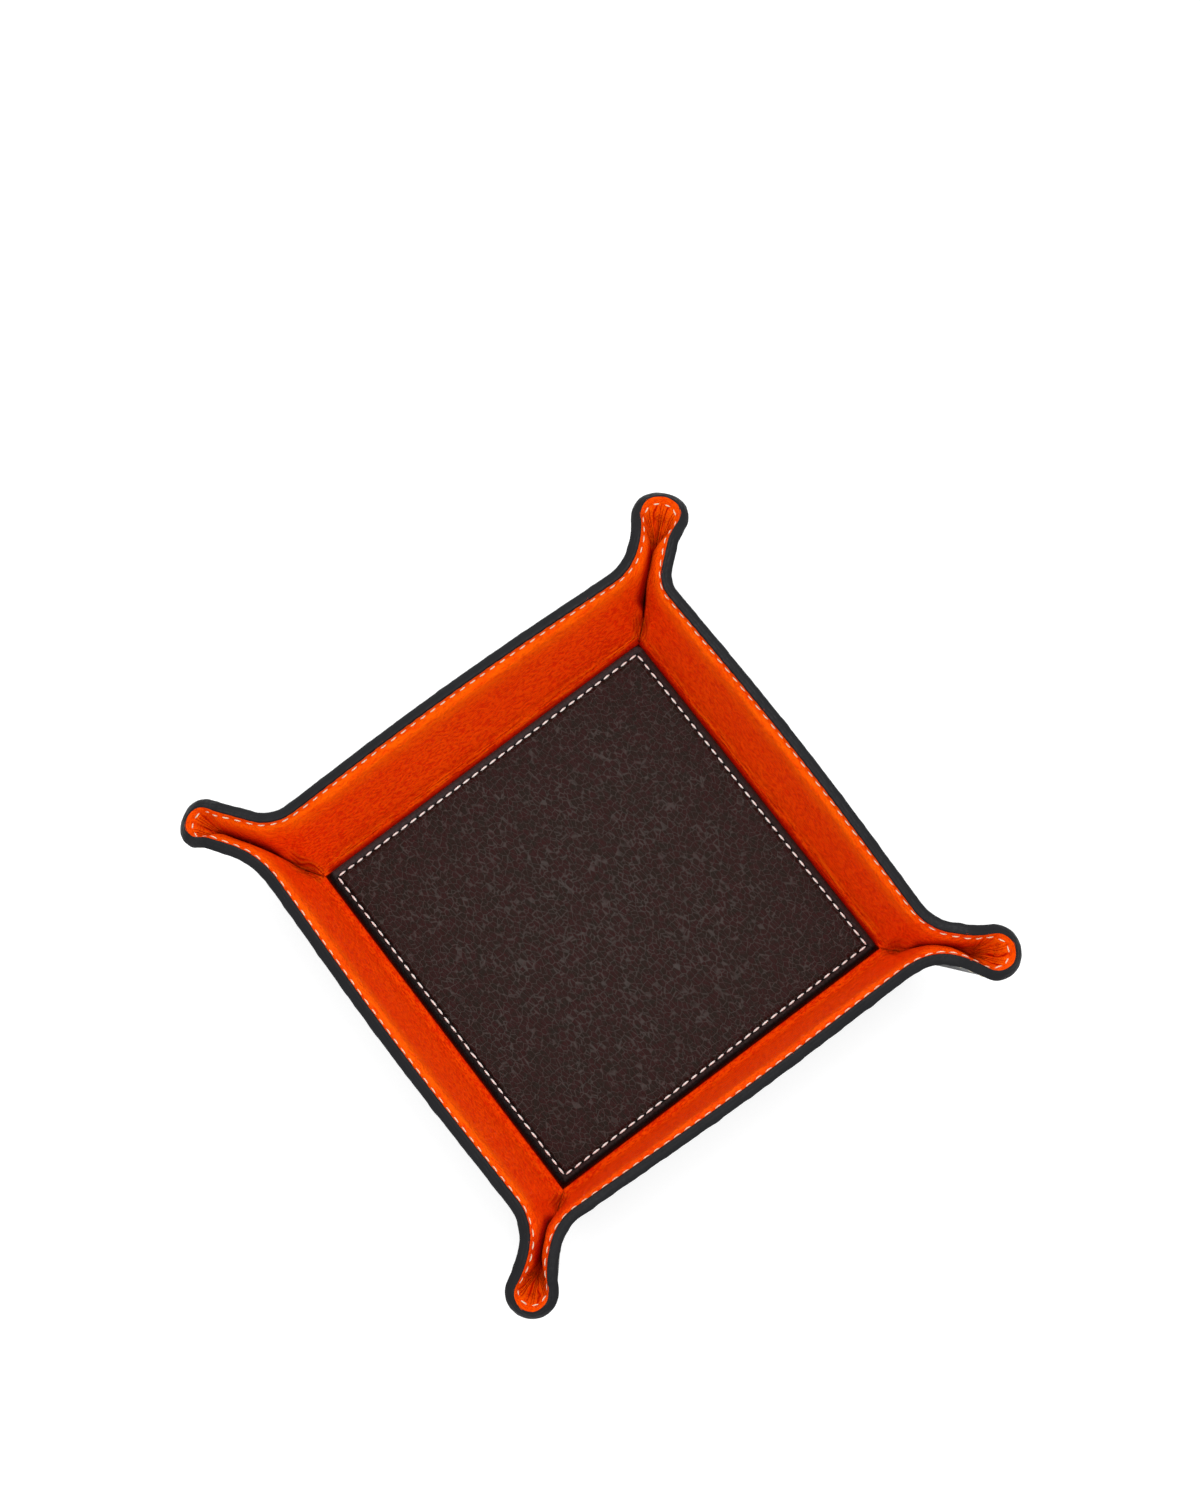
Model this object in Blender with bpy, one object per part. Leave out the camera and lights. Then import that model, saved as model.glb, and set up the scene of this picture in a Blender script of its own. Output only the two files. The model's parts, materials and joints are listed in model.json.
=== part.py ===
# Leather tray with four pinched corners, laid out in metres with +Z up.
# The origin is on the underside, below the middle of the floor.
# A square blank of two bonded leathers is folded up along the floor's edges, and each corner of the
# blank is pinched into an ear: a keel line climbs from the floor's corner to a small bowl at the ear's end.
# All leather pieces are layers of one reference surface, the orange inner face, seen as sections that
# run from the fold line or the keel up to the rim.

import math

import bmesh
import bpy
import numpy as np

MM = 0.001

# Pad on the floor
PAD_HALF = 65.0 * MM
PAD_CORNER_RADIUS = 2.3 * MM
PAD_THICKNESS = 2.7 * MM
PAD_COVER_THICKNESS = 1.2 * MM
PAD_BORDER = 3.9 * MM
PAD_EDGE_DROP = 1.0 * MM
PAD_BORDER_CREST_DROP = 0.14 * MM
PAD_EDGE_ROUND = 0.5 * MM
PAD_CORE_SIDE_GAP = 0.3 * MM

# Layers, from the underside up
OUTER_THICKNESS = 2.0 * MM
LINING_THICKNESS = 1.1 * MM
BOARD_THICKNESS = 1.2 * MM
STIFFENER_THICKNESS = 0.8 * MM
GLUE_GAP = 0.3 * MM

# Floor and folds
FOLD_MARGIN = 1.2 * MM
FOLD_RADIUS = 2.0 * MM
BOARD_MARGIN = 1.6 * MM
BOARD_CORNER_RADIUS = 3.0 * MM

# Walls: heights are from the lining's floor to the inner edge of the rim
WALL_RUN = 12.55 * MM
WALL_BOW = 1.4 * MM
BOW_FADE = 10.8 * MM
RIM_HEIGHT = 35.2 * MM
NECK_RIM_HEIGHT = 33.8 * MM
BOWL_RIM_HEIGHT = 30.4 * MM
TIP_RIM_HEIGHT = 28.5 * MM

# Ears: plan sizes of the rim's inner edge, from the floor's corner outward
EAR_REACH = 36.6 * MM
NECK_HALF_WIDTH = 4.1 * MM
SHOULDER_RADIUS = 19.5 * MM
NECK_RADIUS = 33.0 * MM
BOWL_RADIUS = 5.8 * MM
KEEL_RADIUS = 0.6 * MM
KEEL_START = 6.0 * MM
KEEL_TURN_LENGTH = 10.0 * MM
KEEL_END_SETBACK = 1.0 * MM
BOWL_FLOOR_RADIUS = 4.0 * MM
neck_pinch_share = 0.22
KEEL_EASE_POWER = 1.7

# The tray is bent up by hand, so its walls and ears differ a little from one to the next.
# Walls are in the order +Y, +X, -Y, -X, and ears in the order of ear_side_shares, their x and y sides.
ear_side_shares = ((-1, 1), (1, 1), (1, -1), (-1, -1))
rim_lean_shares = (-0.056, -0.066)
RIM_TWIST_DEG = -0.6
wall_lean_shares = (-0.036, -0.053, 0.030, 0.096)
wall_skew_shares = (0.016, 0.061, -0.033, -0.028)
EAR_TURN_DEG = (-3.8, -0.2, -2.3, -8.4)
ear_reach_shares = (-0.014, 0.008, -0.011, 0.026)
neck_width_shares = (0.144, -0.122, -0.195, 0.154)
bowl_radius_shares = (0.114, 0.036, -0.074, -0.134)
shoulder_radius_shares = ((0.61, 1.10), (0.97, 1.13), (1.03, 1.01), (1.65, 0.82))
neck_radius_shares = ((0.70, 1.04), (0.70, 1.21), (0.99, 1.10), (1.02, 1.04))

# Seams
PAD_STITCH_INSET = 2.8 * MM
PAD_STITCH_PITCH = 3.65 * MM
PAD_GROOVE_DEPTH = 0.55 * MM
PAD_GROOVE_FLAT = 1.2 * MM
PAD_GROOVE_BANK = 0.5 * MM
RIM_STITCH_INSET = 2.3 * MM
RIM_STITCH_PITCH = 4.0 * MM
THREAD_WIDTH = 0.7 * MM
THREAD_HEIGHT = 0.45 * MM
THREAD_SEAT_GAP = 0.3 * MM
thread_dip_share = 0.4
TACK_DISTANCE = 19.0 * MM
TACK_DEPTH = 9.0 * MM
TACK_DIAMETER = 0.9 * MM
TACK_SEAT_GAP = 0.6 * MM

# The leathers' thickness is measured along normals that are evened out over this length
EVEN_LENGTH = 5.0 * MM
fold_limit_share = 0.9
normal_step_share = 0.004

# Rows of the surface mesh, as shares of a section's length from its root to the rim
row_shares = (0.0, 0.05, 0.11, 0.17, 0.40, 0.64, 0.86, 0.93, 1.0)
FOLD_ROW = 2
STIFFENER_FIRST_ROW = 3
STIFFENER_LAST_ROW = 6
STIFFENER_LAST_COLUMN = 3
bowl_rim_share = 0.35
fan_start_share = 0.16
rim_drop_start_share = 0.4

# Columns of the surface mesh in each half corner, and the finer columns between them
WALL_STEPS = 4
SHOULDER_STEPS = 4
NECK_STEPS = 3
FAN_LEAD_STEPS = 1
FAN_STEPS = 4
HALF_STEPS = WALL_STEPS + SHOULDER_STEPS + NECK_STEPS + FAN_LEAD_STEPS + FAN_STEPS
FINE = 6
ARC_POINTS = 48
SQUARE_CORNER_STEPS = 3
TACK_SIDES = 8
MERGE_DISTANCE = 0.0005 * MM

# Places worked out from the sizes above
BASE_HALF = PAD_HALF + FOLD_MARGIN
BOARD_SPREAD = (BOARD_THICKNESS + GLUE_GAP) / 2
STIFFENER_SPREAD = (STIFFENER_THICKNESS + GLUE_GAP) / 2
OUTER_NEAR = LINING_THICKNESS + GLUE_GAP
OUTER_FAR = OUTER_NEAR + OUTER_THICKNESS
REFERENCE_Z = OUTER_FAR + BOARD_SPREAD
LINING_TOP = REFERENCE_Z + BOARD_SPREAD
PAD_BOTTOM = LINING_TOP + GLUE_GAP
PAD_TOP = PAD_BOTTOM + PAD_THICKNESS


def smooth(t):
    t = np.clip(t, 0.0, 1.0)
    return t * t * (3.0 - 2.0 * t)


def unit(vectors):
    return vectors / np.linalg.norm(vectors, axis=-1, keepdims=True)


def arc(centre, radius, start, end):
    # plan points on an arc, without its first point
    angles = np.linspace(start, end, ARC_POINTS + 1)[1:]
    return centre + radius * np.stack([np.cos(angles), np.sin(angles)], axis=1)


def along_line(at, lengths, values):
    # values read at lengths along a line
    return np.stack([np.interp(at, lengths, values[:, axis]) for axis in range(3)], axis=1)


def wall_beside(ear, side):
    # the wall on one side of an ear: side 0 is the wall that runs along x, side 1 the one along y
    sx, sy = ear_side_shares[ear]
    if side == 0:
        return 0 if sy > 0 else 2
    return 1 if sx > 0 else 3


def rim_plan(ear, side):
    # Half of the rim in plan: along the wall, round the shoulder into the neck, and round the bowl.
    # x runs along the wall and y out of it, and the floor's corner is at (BASE_HALF, BASE_HALF).
    sx, sy = ear_side_shares[ear]
    wall = wall_beside(ear, side)
    turn = math.radians(EAR_TURN_DEG[ear]) * sx * sy * (1 if side == 0 else -1)
    along_angle = math.pi / 4 + turn
    along = np.array([math.cos(along_angle), math.sin(along_angle)])
    across = np.array([-along[1], along[0]])
    corner = np.array([BASE_HALF, BASE_HALF])
    half_width = NECK_HALF_WIDTH * (1 + neck_width_shares[ear])
    shoulder = SHOULDER_RADIUS * shoulder_radius_shares[ear][side]
    neck = NECK_RADIUS * neck_radius_shares[ear][side]
    bowl = BOWL_RADIUS * (1 + bowl_radius_shares[ear])
    reach = EAR_REACH * (1 + ear_reach_shares[ear])
    wall_line = BASE_HALF + WALL_RUN * (1 + wall_lean_shares[wall])

    climb = (wall_line + shoulder - corner[1] - across[1] * (half_width + shoulder)) / along[1]
    shoulder_centre = corner + across * (half_width + shoulder) + climb * along
    neck_back = math.sqrt((neck + bowl) ** 2 - (half_width + neck) ** 2)
    neck_centre = corner + across * (half_width + neck) + (reach - neck_back) * along
    bowl_centre = corner + reach * along
    to_bowl = bowl_centre - neck_centre
    to_bowl_angle = math.atan2(to_bowl[1], to_bowl[0])
    bowl_start = math.atan2(-to_bowl[1], -to_bowl[0]) % (2 * math.pi)

    wall_points = np.linspace([0.0, wall_line], [shoulder_centre[0], wall_line], ARC_POINTS + 1)
    shoulder_points = arc(shoulder_centre, shoulder, -math.pi / 2, along_angle - math.pi / 2)
    neck_points = arc(neck_centre, neck, along_angle - math.pi / 2, to_bowl_angle)
    neck_start = neck_centre - across * neck
    bowl_points = arc(bowl_centre, bowl, bowl_start, along_angle)
    points = np.vstack([wall_points, shoulder_points, neck_start[None], neck_points, bowl_points])

    lengths = np.r_[0.0, np.cumsum(np.linalg.norm(np.diff(points, axis=0), axis=1))]
    shoulder_at = lengths[ARC_POINTS]
    neck_at = lengths[2 * ARC_POINTS + 1]
    bowl_at = lengths[3 * ARC_POINTS + 1]
    corner_at = np.interp(BASE_HALF, points[:2 * ARC_POINTS, 0], lengths[:2 * ARC_POINTS])

    # the long walls bow outward a little, and lean a little more at one end
    along_wall = sx if side == 0 else sy
    bow = np.clip(1.0 - (points[:, 0] / (BASE_HALF + BOW_FADE)) ** 2, 0.0, 1.0) ** 2
    fade = 1.0 - smooth((lengths - shoulder_at) / (neck_at - shoulder_at))
    skew = WALL_RUN * wall_skew_shares[wall] * along_wall * np.minimum(points[:, 0] / BASE_HALF, 1.0) * fade
    points[:, 1] += WALL_BOW * bow + skew

    fan_at = bowl_at + fan_start_share * (lengths[-1] - bowl_at)
    low_at = bowl_at + bowl_rim_share * (lengths[-1] - bowl_at)
    drop_at = rim_drop_start_share * shoulder_at
    height = RIM_HEIGHT + (NECK_RIM_HEIGHT - RIM_HEIGHT) * smooth((lengths - drop_at) / (neck_at - drop_at))
    height += (BOWL_RIM_HEIGHT - NECK_RIM_HEIGHT) * smooth((lengths - neck_at) / (low_at - neck_at))
    height += (TIP_RIM_HEIGHT - BOWL_RIM_HEIGHT) * smooth((lengths - low_at) / (lengths[-1] - low_at))
    points = np.c_[points, LINING_TOP + height]
    stops = (0.0, corner_at, neck_at, bowl_at, fan_at, lengths[-1])
    return points, lengths, stops, np.r_[bowl_centre, 0.0]


def to_world(points, ear, side):
    sx, sy = ear_side_shares[ear]
    ordered = points if side == 0 else points[..., [1, 0, 2]]
    return ordered * np.array([sx, sy, 1.0])


def lean(points):
    # the rim as a whole stands a little off the floor's middle and is turned a little
    twist = math.radians(RIM_TWIST_DEG)
    turned = points @ np.array([
        [math.cos(twist), math.sin(twist), 0.0],
        [-math.sin(twist), math.cos(twist), 0.0],
        [0.0, 0.0, 1.0],
    ])
    return turned + np.array([WALL_RUN * rim_lean_shares[0], WALL_RUN * rim_lean_shares[1], 0.0])


def keel_height(distance, slope):
    t = np.clip(distance / KEEL_START, 0.0, 1.0)
    curved = KEEL_START * (t ** 3 - t ** 4 / 2)
    return slope * np.where(distance < KEEL_START, curved, distance - KEEL_START / 2)


def section_places(stops):
    # where the sections meet the rim, as lengths along it from the middle of the wall
    steps = (WALL_STEPS, SHOULDER_STEPS, NECK_STEPS, FAN_LEAD_STEPS, FAN_STEPS)
    places = [np.zeros(1)]
    for start, end, count in zip(stops[:-1], stops[1:], steps):
        places.append(np.linspace(start, end, count * FINE + 1)[1:])
    return np.concatenate(places)


def keel_shares(ear):
    # how far along the keel each section starts, the same for both sides of an ear
    shares = []
    for side in (0, 1):
        stops = rim_plan(ear, side)[2]
        shares.append(np.clip((section_places(stops) - stops[1]) / (stops[4] - stops[1]), 0.0, 1.0))
    return ((shares[0] + shares[1]) / 2) ** KEEL_EASE_POWER


def half_corner(ear, side):
    # Sections of half a corner, from the middle of a wall to the ear's tip
    rim, lengths, stops, bowl_centre = rim_plan(ear, side)
    at = section_places(stops)
    local = along_line(at, lengths, rim)
    rim_points = lean(to_world(local, ear, side))
    tip = lean(to_world(rim[-1:], ear, side))[0]
    centre = lean(to_world(bowl_centre[None], ear, side))[0]
    corner = to_world(np.array([[BASE_HALF, BASE_HALF, REFERENCE_Z]]), ear, side)[0]

    # keel line, straight in plan from the floor's corner to the bowl
    run = np.append((centre - corner)[:2], 0.0)
    keel_end = np.linalg.norm(run) - KEEL_END_SETBACK
    keel_along = unit(run)
    tip_run = np.linalg.norm((tip - corner)[:2])
    slope = (tip[2] - REFERENCE_Z) / (tip_run - KEEL_START / 2)
    corner_at, neck_at, fan_at = stops[1], stops[2], stops[4]
    distance = keel_end * keel_shares(ear)
    on_keel = at > corner_at
    fold_line = np.stack([local[:, 0], np.full(len(at), BASE_HALF), np.full(len(at), REFERENCE_Z)], axis=1)
    wall_root = to_world(fold_line, ear, side)
    keel_root = corner + distance[:, None] * keel_along
    keel_root[:, 2] += keel_height(distance, slope)
    roots = np.where(on_keel[:, None], keel_root, wall_root)

    # each section leaves its root level and square to the fold or the keel, and fans out in the bowl
    wall_out = to_world(np.array([[0.0, 1.0, 0.0]]), ear, side)[0]
    keel_side = np.array([-keel_along[1], keel_along[0], 0.0])
    keel_side = keel_side * np.sign(keel_side @ wall_out)
    grade = slope * smooth(distance / KEEL_START)
    keel_up = unit(keel_along + grade[:, None] * np.array([0.0, 0.0, 1.0]))
    turned = smooth(distance / KEEL_TURN_LENGTH)
    side_dir = unit((1 - turned[:, None]) * wall_out + turned[:, None] * keel_side)
    fan = math.pi / 2 * np.clip((at - fan_at) / (lengths[-1] - fan_at), 0.0, 1.0)[:, None]
    leave = np.cos(fan) * side_dir + np.sin(fan) * keel_up
    level_share = np.linalg.norm(keel_up[:, :2], axis=1)
    root_normal = keel_up[:, 2:3] * keel_along - level_share[:, None] * np.array([0.0, 0.0, 1.0])

    opened = smooth((at - neck_at) / (fan_at - neck_at))
    radius = FOLD_RADIUS + (KEEL_RADIUS - FOLD_RADIUS) * turned + (BOWL_FLOOR_RADIUS - KEEL_RADIUS) * opened
    pinch = neck_pinch_share * turned * (1 - opened)
    straight = np.clip((BASE_HALF - local[:, 0]) / BASE_HALF, 0.0, 1.0) * ~on_keel
    return {"rim": rim_points, "root": roots, "leave": leave, "normal": root_normal, "radius": radius,
            "pinch": pinch, "straight": straight, "keel": distance * on_keel}


def whole_loop():
    # All sections once round the tray, counted along the rim
    order = ((1, 1, 1), (1, 0, -1), (0, 0, 1), (0, 1, -1), (3, 1, 1), (3, 0, -1), (2, 0, 1), (2, 1, -1))
    parts = []
    for ear, side, direction in order:
        half = half_corner(ear, side)
        parts.append({key: values[::direction][:-1] for key, values in half.items()})
    return {key: np.concatenate([part[key] for part in parts]) for key in parts[0]}


def evened(places, values):
    # each value becomes the mean of those within half of EVEN_LENGTH either way along the closed line
    laps = 3
    count = len(places)
    steps = np.linalg.norm(np.roll(places, -1, axis=0) - places, axis=1)
    middles = (values + np.roll(values, -1, axis=0)) / 2
    at = np.r_[0.0, np.cumsum(np.tile(steps, laps))]
    sums = np.cumsum(np.tile(middles * steps[:, None], (laps, 1)), axis=0)
    sums = np.vstack([np.zeros(3), sums])
    here = at[count:2 * count]
    ahead = along_line(here + EVEN_LENGTH / 2, at, sums)
    behind = along_line(here - EVEN_LENGTH / 2, at, sums)
    return (ahead - behind) / EVEN_LENGTH


class Surface:
    # The reference surface: each section is an arc at its root and a straight run to the rim

    def __init__(self, loop):
        self.loop = loop
        reach = loop["rim"] - loop["root"]
        self.out = np.sum(reach * loop["leave"], axis=1)
        rise = reach - self.out[:, None] * loop["leave"]
        self.up = np.linalg.norm(rise, axis=1)
        self.rise = rise / self.up[:, None]
        span = np.hypot(self.out, self.up - loop["radius"])
        self.radius = np.minimum(loop["radius"], fold_limit_share * span)
        span = np.hypot(self.out, self.up - self.radius)
        self.bend = np.arctan2(self.up - self.radius, self.out) + np.arcsin(self.radius / span)
        self.bend = np.maximum(self.bend, 0.0)
        self.curved = self.radius * self.bend
        self.run = np.sqrt(span ** 2 - self.radius ** 2)
        self.length = self.curved + self.run

    def points(self, share):
        # points of every section at a share of its length, one share or one for each section
        share = np.broadcast_to(share, self.length.shape)
        travelled = share * self.length
        angle = np.minimum(travelled, self.curved) / self.radius
        beyond = np.maximum(travelled - self.curved, 0.0)
        across = self.radius * np.sin(angle) + beyond * np.cos(self.bend)
        above = self.radius * (1 - np.cos(angle)) + beyond * np.sin(self.bend)
        across = across - self.out * self.loop["pinch"] * 4 * share * (1 - share)
        return self.loop["root"] + across[:, None] * self.loop["leave"] + above[:, None] * self.rise

    def normals(self, share):
        # outward unit normals, away from the tray's inside
        share = np.broadcast_to(share, self.length.shape)
        here = self.points(share)
        if np.all(share == 0):
            return unit(evened(here, self.loop["normal"]))
        along = np.roll(here, -1, axis=0) - np.roll(here, 1, axis=0)
        above = self.points(np.minimum(share + normal_step_share, 1.0))
        below = self.points(share - normal_step_share)
        normal = unit(np.cross(along, above - below))
        return unit(evened(here, evened(here, normal)))


def spread(surface, row):
    # half of what lies between the two leathers: the board on the floor, a stiffener in each wall
    loop = surface.loop
    if row < FOLD_ROW:
        return BOARD_SPREAD * (1 - row / FOLD_ROW) * (1 - smooth(loop["keel"] / KEEL_START))
    if STIFFENER_FIRST_ROW <= row <= STIFFENER_LAST_ROW:
        last = 1.0 - STIFFENER_LAST_COLUMN / WALL_STEPS
        return STIFFENER_SPREAD * np.clip(loop["straight"] / last, 0.0, 1.0)
    return np.zeros(len(surface.length))


def layer_rows(surface, offset, spread_sign):
    # rows of points at an offset from the reference surface, pushed apart by what lies between
    rows = []
    for row, share in enumerate(row_shares):
        distance = offset + spread_sign * spread(surface, row)
        points = surface.points(share) + distance[:, None] * surface.normals(share)
        rows.append(points[::FINE])
    return rows


def new_material(name, colour, roughness):
    material = bpy.data.materials.new(name)
    material.use_nodes = True
    shader = material.node_tree.nodes["Principled BSDF"]
    shader.inputs["Base Color"].default_value = (*colour, 1.0)
    shader.inputs["Roughness"].default_value = roughness
    shader.inputs["Metallic"].default_value = 0.0
    material.diffuse_color = (*colour, 1.0)
    return material


def new_piece(name, points, faces, material):
    # A closed piece from its points and faces, with doubled points joined and its faces turned out
    mesh = bpy.data.meshes.new(name)
    shape = bmesh.new()
    verts = [shape.verts.new(tuple(point)) for point in points]
    for face in faces:
        shape.faces.new([verts[index] for index in face])
    bmesh.ops.remove_doubles(shape, verts=shape.verts, dist=MERGE_DISTANCE)
    bmesh.ops.triangulate(shape, faces=shape.faces)
    bmesh.ops.recalc_face_normals(shape, faces=shape.faces)
    if shape.calc_volume(signed=True) < 0:
        bmesh.ops.reverse_faces(shape, faces=shape.faces)
    shape.to_mesh(mesh)
    shape.free()
    mesh.materials.append(material)
    piece = bpy.data.objects.new(name, mesh)
    bpy.context.scene.collection.objects.link(piece)
    return piece


def sheet_faces(rows, columns, start, closed):
    # quads between neighbouring rows of points that are numbered row by row from start
    faces = []
    last = columns if closed else columns - 1
    for row in range(rows - 1):
        for column in range(last):
            following = (column + 1) % columns
            a = start + row * columns
            faces.append((a + column, a + following, a + columns + following, a + columns + column))
    return faces


def leather(name, surface, near, far, spread_sign, material):
    # A leather that covers the floor, the walls and the ears, between two offsets of the surface
    columns = len(surface.length) // FINE
    near_rows = layer_rows(surface, near, spread_sign)
    far_rows = layer_rows(surface, far, spread_sign)
    points = np.vstack(near_rows + far_rows)
    count = len(row_shares)
    far_start = count * columns
    faces = sheet_faces(count, columns, 0, True) + sheet_faces(count, columns, far_start, True)
    rim, far_rim = (count - 1) * columns, far_start + (count - 1) * columns
    for column in range(columns):
        following = (column + 1) % columns
        faces.append((rim + column, rim + following, far_rim + following, far_rim + column))
    # the floor is a fan from its middle to the fold line
    floor = surface.loop["keel"][::FINE] == 0
    middle = len(points)
    centres = [[0.0, 0.0, rows[0][floor][0][2]] for rows in (near_rows, far_rows)]
    points = np.vstack([points, centres])
    ring = [column for column in range(columns) if floor[column]]
    for column, following in zip(ring, ring[1:] + ring[:1]):
        faces.append((middle, column, following))
        faces.append((middle + 1, far_start + column, far_start + following))
    return new_piece(name, points, faces, material)


def wall_stiffener(name, surface, middle_column, material):
    # A strip between the two leathers of one wall
    loop_size = len(surface.length)
    near, far = [], []
    picks = np.arange(-STIFFENER_LAST_COLUMN, STIFFENER_LAST_COLUMN + 1) * FINE + middle_column
    picks = picks % loop_size
    inner = LINING_THICKNESS - STIFFENER_SPREAD + GLUE_GAP
    for share in row_shares[STIFFENER_FIRST_ROW:STIFFENER_LAST_ROW + 1]:
        base = surface.points(share)[picks]
        normal = surface.normals(share)[picks]
        near.append(base + inner * normal)
        far.append(base + (inner + STIFFENER_THICKNESS) * normal)
    rows, columns = len(near), len(picks)
    points = np.vstack(near + far)
    far_start = rows * columns
    faces = sheet_faces(rows, columns, 0, False) + sheet_faces(rows, columns, far_start, False)
    edge = list(range(columns))
    edge += [row * columns + columns - 1 for row in range(1, rows)]
    edge += [(rows - 1) * columns + column for column in range(columns - 2, -1, -1)]
    edge += [row * columns for row in range(rows - 2, 0, -1)]
    for here, following in zip(edge, edge[1:] + edge[:1]):
        faces.append((here, following, far_start + following, far_start + here))
    return new_piece(name, points, faces, material)


def rounded_square(half, radius):
    # plan outline of a square with round corners, counted anticlockwise
    outline = []
    for quarter in range(4):
        start = quarter * math.pi / 2
        reach = (half - radius) * math.sqrt(2)
        centre = reach * np.array([math.cos(start + math.pi / 4), math.sin(start + math.pi / 4)])
        for step in range(SQUARE_CORNER_STEPS + 1):
            angle = start + math.pi / 2 * step / SQUARE_CORNER_STEPS
            outline.append(centre + radius * np.array([math.cos(angle), math.sin(angle)]))
    return outline


def stacked_square(name, rings, material):
    # A square piece from rings of (half width, corner radius, height), closed at both ends by a fan
    points, faces = [], []
    for half, radius, height in rings:
        points += [(x, y, height) for x, y in rounded_square(half, radius)]
    count = 4 * (SQUARE_CORNER_STEPS + 1)
    faces = sheet_faces(len(rings), count, 0, True)
    top = len(points)
    points += [(0.0, 0.0, rings[0][2]), (0.0, 0.0, rings[-1][2])]
    last = (len(rings) - 1) * count
    for index in range(count):
        following = (index + 1) % count
        faces.append((top, index, following))
        faces.append((top + 1, last + following, last + index))
    return new_piece(name, points, faces, material)


def base_board(material):
    half = BASE_HALF - BOARD_MARGIN
    bottom = OUTER_THICKNESS + GLUE_GAP
    rings = ((half, BOARD_CORNER_RADIUS, bottom), (half, BOARD_CORNER_RADIUS, bottom + BOARD_THICKNESS))
    return stacked_square("base_board", rings, material)


def pad_cover(material):
    # Crown, stitch groove, sloping border and edge, then the recess that holds the core
    def inset(distance, height):
        return (PAD_HALF - distance, max(PAD_CORNER_RADIUS - distance, PAD_EDGE_ROUND), height)
    groove_half = PAD_GROOVE_FLAT / 2
    bank = groove_half + PAD_GROOVE_BANK
    groove = PAD_TOP - PAD_GROOVE_DEPTH
    border_crest = PAD_TOP - PAD_BORDER_CREST_DROP
    rings = (
        inset(PAD_STITCH_INSET + bank, PAD_TOP),
        inset(PAD_STITCH_INSET + groove_half, groove),
        inset(PAD_STITCH_INSET - groove_half, groove),
        inset(PAD_STITCH_INSET - bank, border_crest),
        inset(PAD_EDGE_ROUND, PAD_TOP - PAD_EDGE_DROP / 2),
        inset(0.0, PAD_TOP - PAD_EDGE_DROP),
        inset(0.0, PAD_BOTTOM),
        inset(PAD_BORDER, PAD_BOTTOM),
        inset(PAD_BORDER, PAD_TOP - PAD_COVER_THICKNESS),
    )
    return stacked_square("pad_cover", rings, material)


def pad_core(material):
    half = PAD_HALF - PAD_BORDER - PAD_CORE_SIDE_GAP
    top = PAD_TOP - PAD_COVER_THICKNESS - GLUE_GAP
    rings = ((half, PAD_EDGE_ROUND, PAD_BOTTOM), (half, PAD_EDGE_ROUND, top))
    return stacked_square("pad_core", rings, material)


def seam(name, places, ups, material):
    # One unbroken thread along a closed line of places: it dips to the leather at each even place, where
    # a needle hole lies, and stands up at each odd one, the middle of a stitch
    along = unit(np.roll(places, -1, axis=0) - np.roll(places, 1, axis=0))
    side = unit(np.cross(along, ups))
    at_stitch = (np.arange(len(places)) % 2)[:, None]
    half_width = THREAD_WIDTH / 2 * np.where(at_stitch, 1.0, thread_dip_share)
    height = THREAD_HEIGHT * np.where(at_stitch, 1.0, thread_dip_share)
    seat = places + ups * THREAD_SEAT_GAP
    rings = np.stack([seat - side * half_width, seat + ups * height, seat + side * half_width], axis=1)
    count = len(places)
    faces = []
    for index in range(count):
        following = (index + 1) % count
        for corner in range(3):
            turned = (corner + 1) % 3
            here, ahead = 3 * index, 3 * following
            faces.append((here + corner, here + turned, ahead + turned, ahead + corner))
    print(name, count // 2, "stitches")
    return new_piece(name, rings.reshape(-1, 3), faces, material)


def pad_stitching(material):
    half = PAD_HALF - PAD_STITCH_INSET
    count = int(round(2 * half / PAD_STITCH_PITCH))
    height = PAD_TOP - PAD_GROOVE_DEPTH
    places = []
    for quarter in range(4):
        angle = quarter * math.pi / 2
        out = np.array([math.cos(angle), math.sin(angle), 0.0])
        along = np.array([-out[1], out[0], 0.0])
        for index in range(2 * count):
            places.append(out * half + along * half * (index / count - 1) + np.array([0.0, 0.0, height]))
    ups = np.tile([0.0, 0.0, 1.0], (len(places), 1))
    return seam("pad_stitching", np.array(places), ups, material)


def rim_stitching(name, surface, offset, outward, material):
    # The seam that follows the rim all round, on the inner face or on the outer one
    share = 1.0 - RIM_STITCH_INSET / surface.length
    normals = surface.normals(share)
    line = surface.points(share) + offset * normals
    line = np.vstack([line, line[:1]])
    facing = np.vstack([normals, normals[:1]]) * outward
    lengths = np.r_[0.0, np.cumsum(np.linalg.norm(np.diff(line, axis=0), axis=1))]
    count = int(round(lengths[-1] / RIM_STITCH_PITCH))
    at = lengths[-1] * np.arange(2 * count) / (2 * count)
    return seam(name, along_line(at, lengths, line), unit(along_line(at, lengths, facing)), material)


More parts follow.
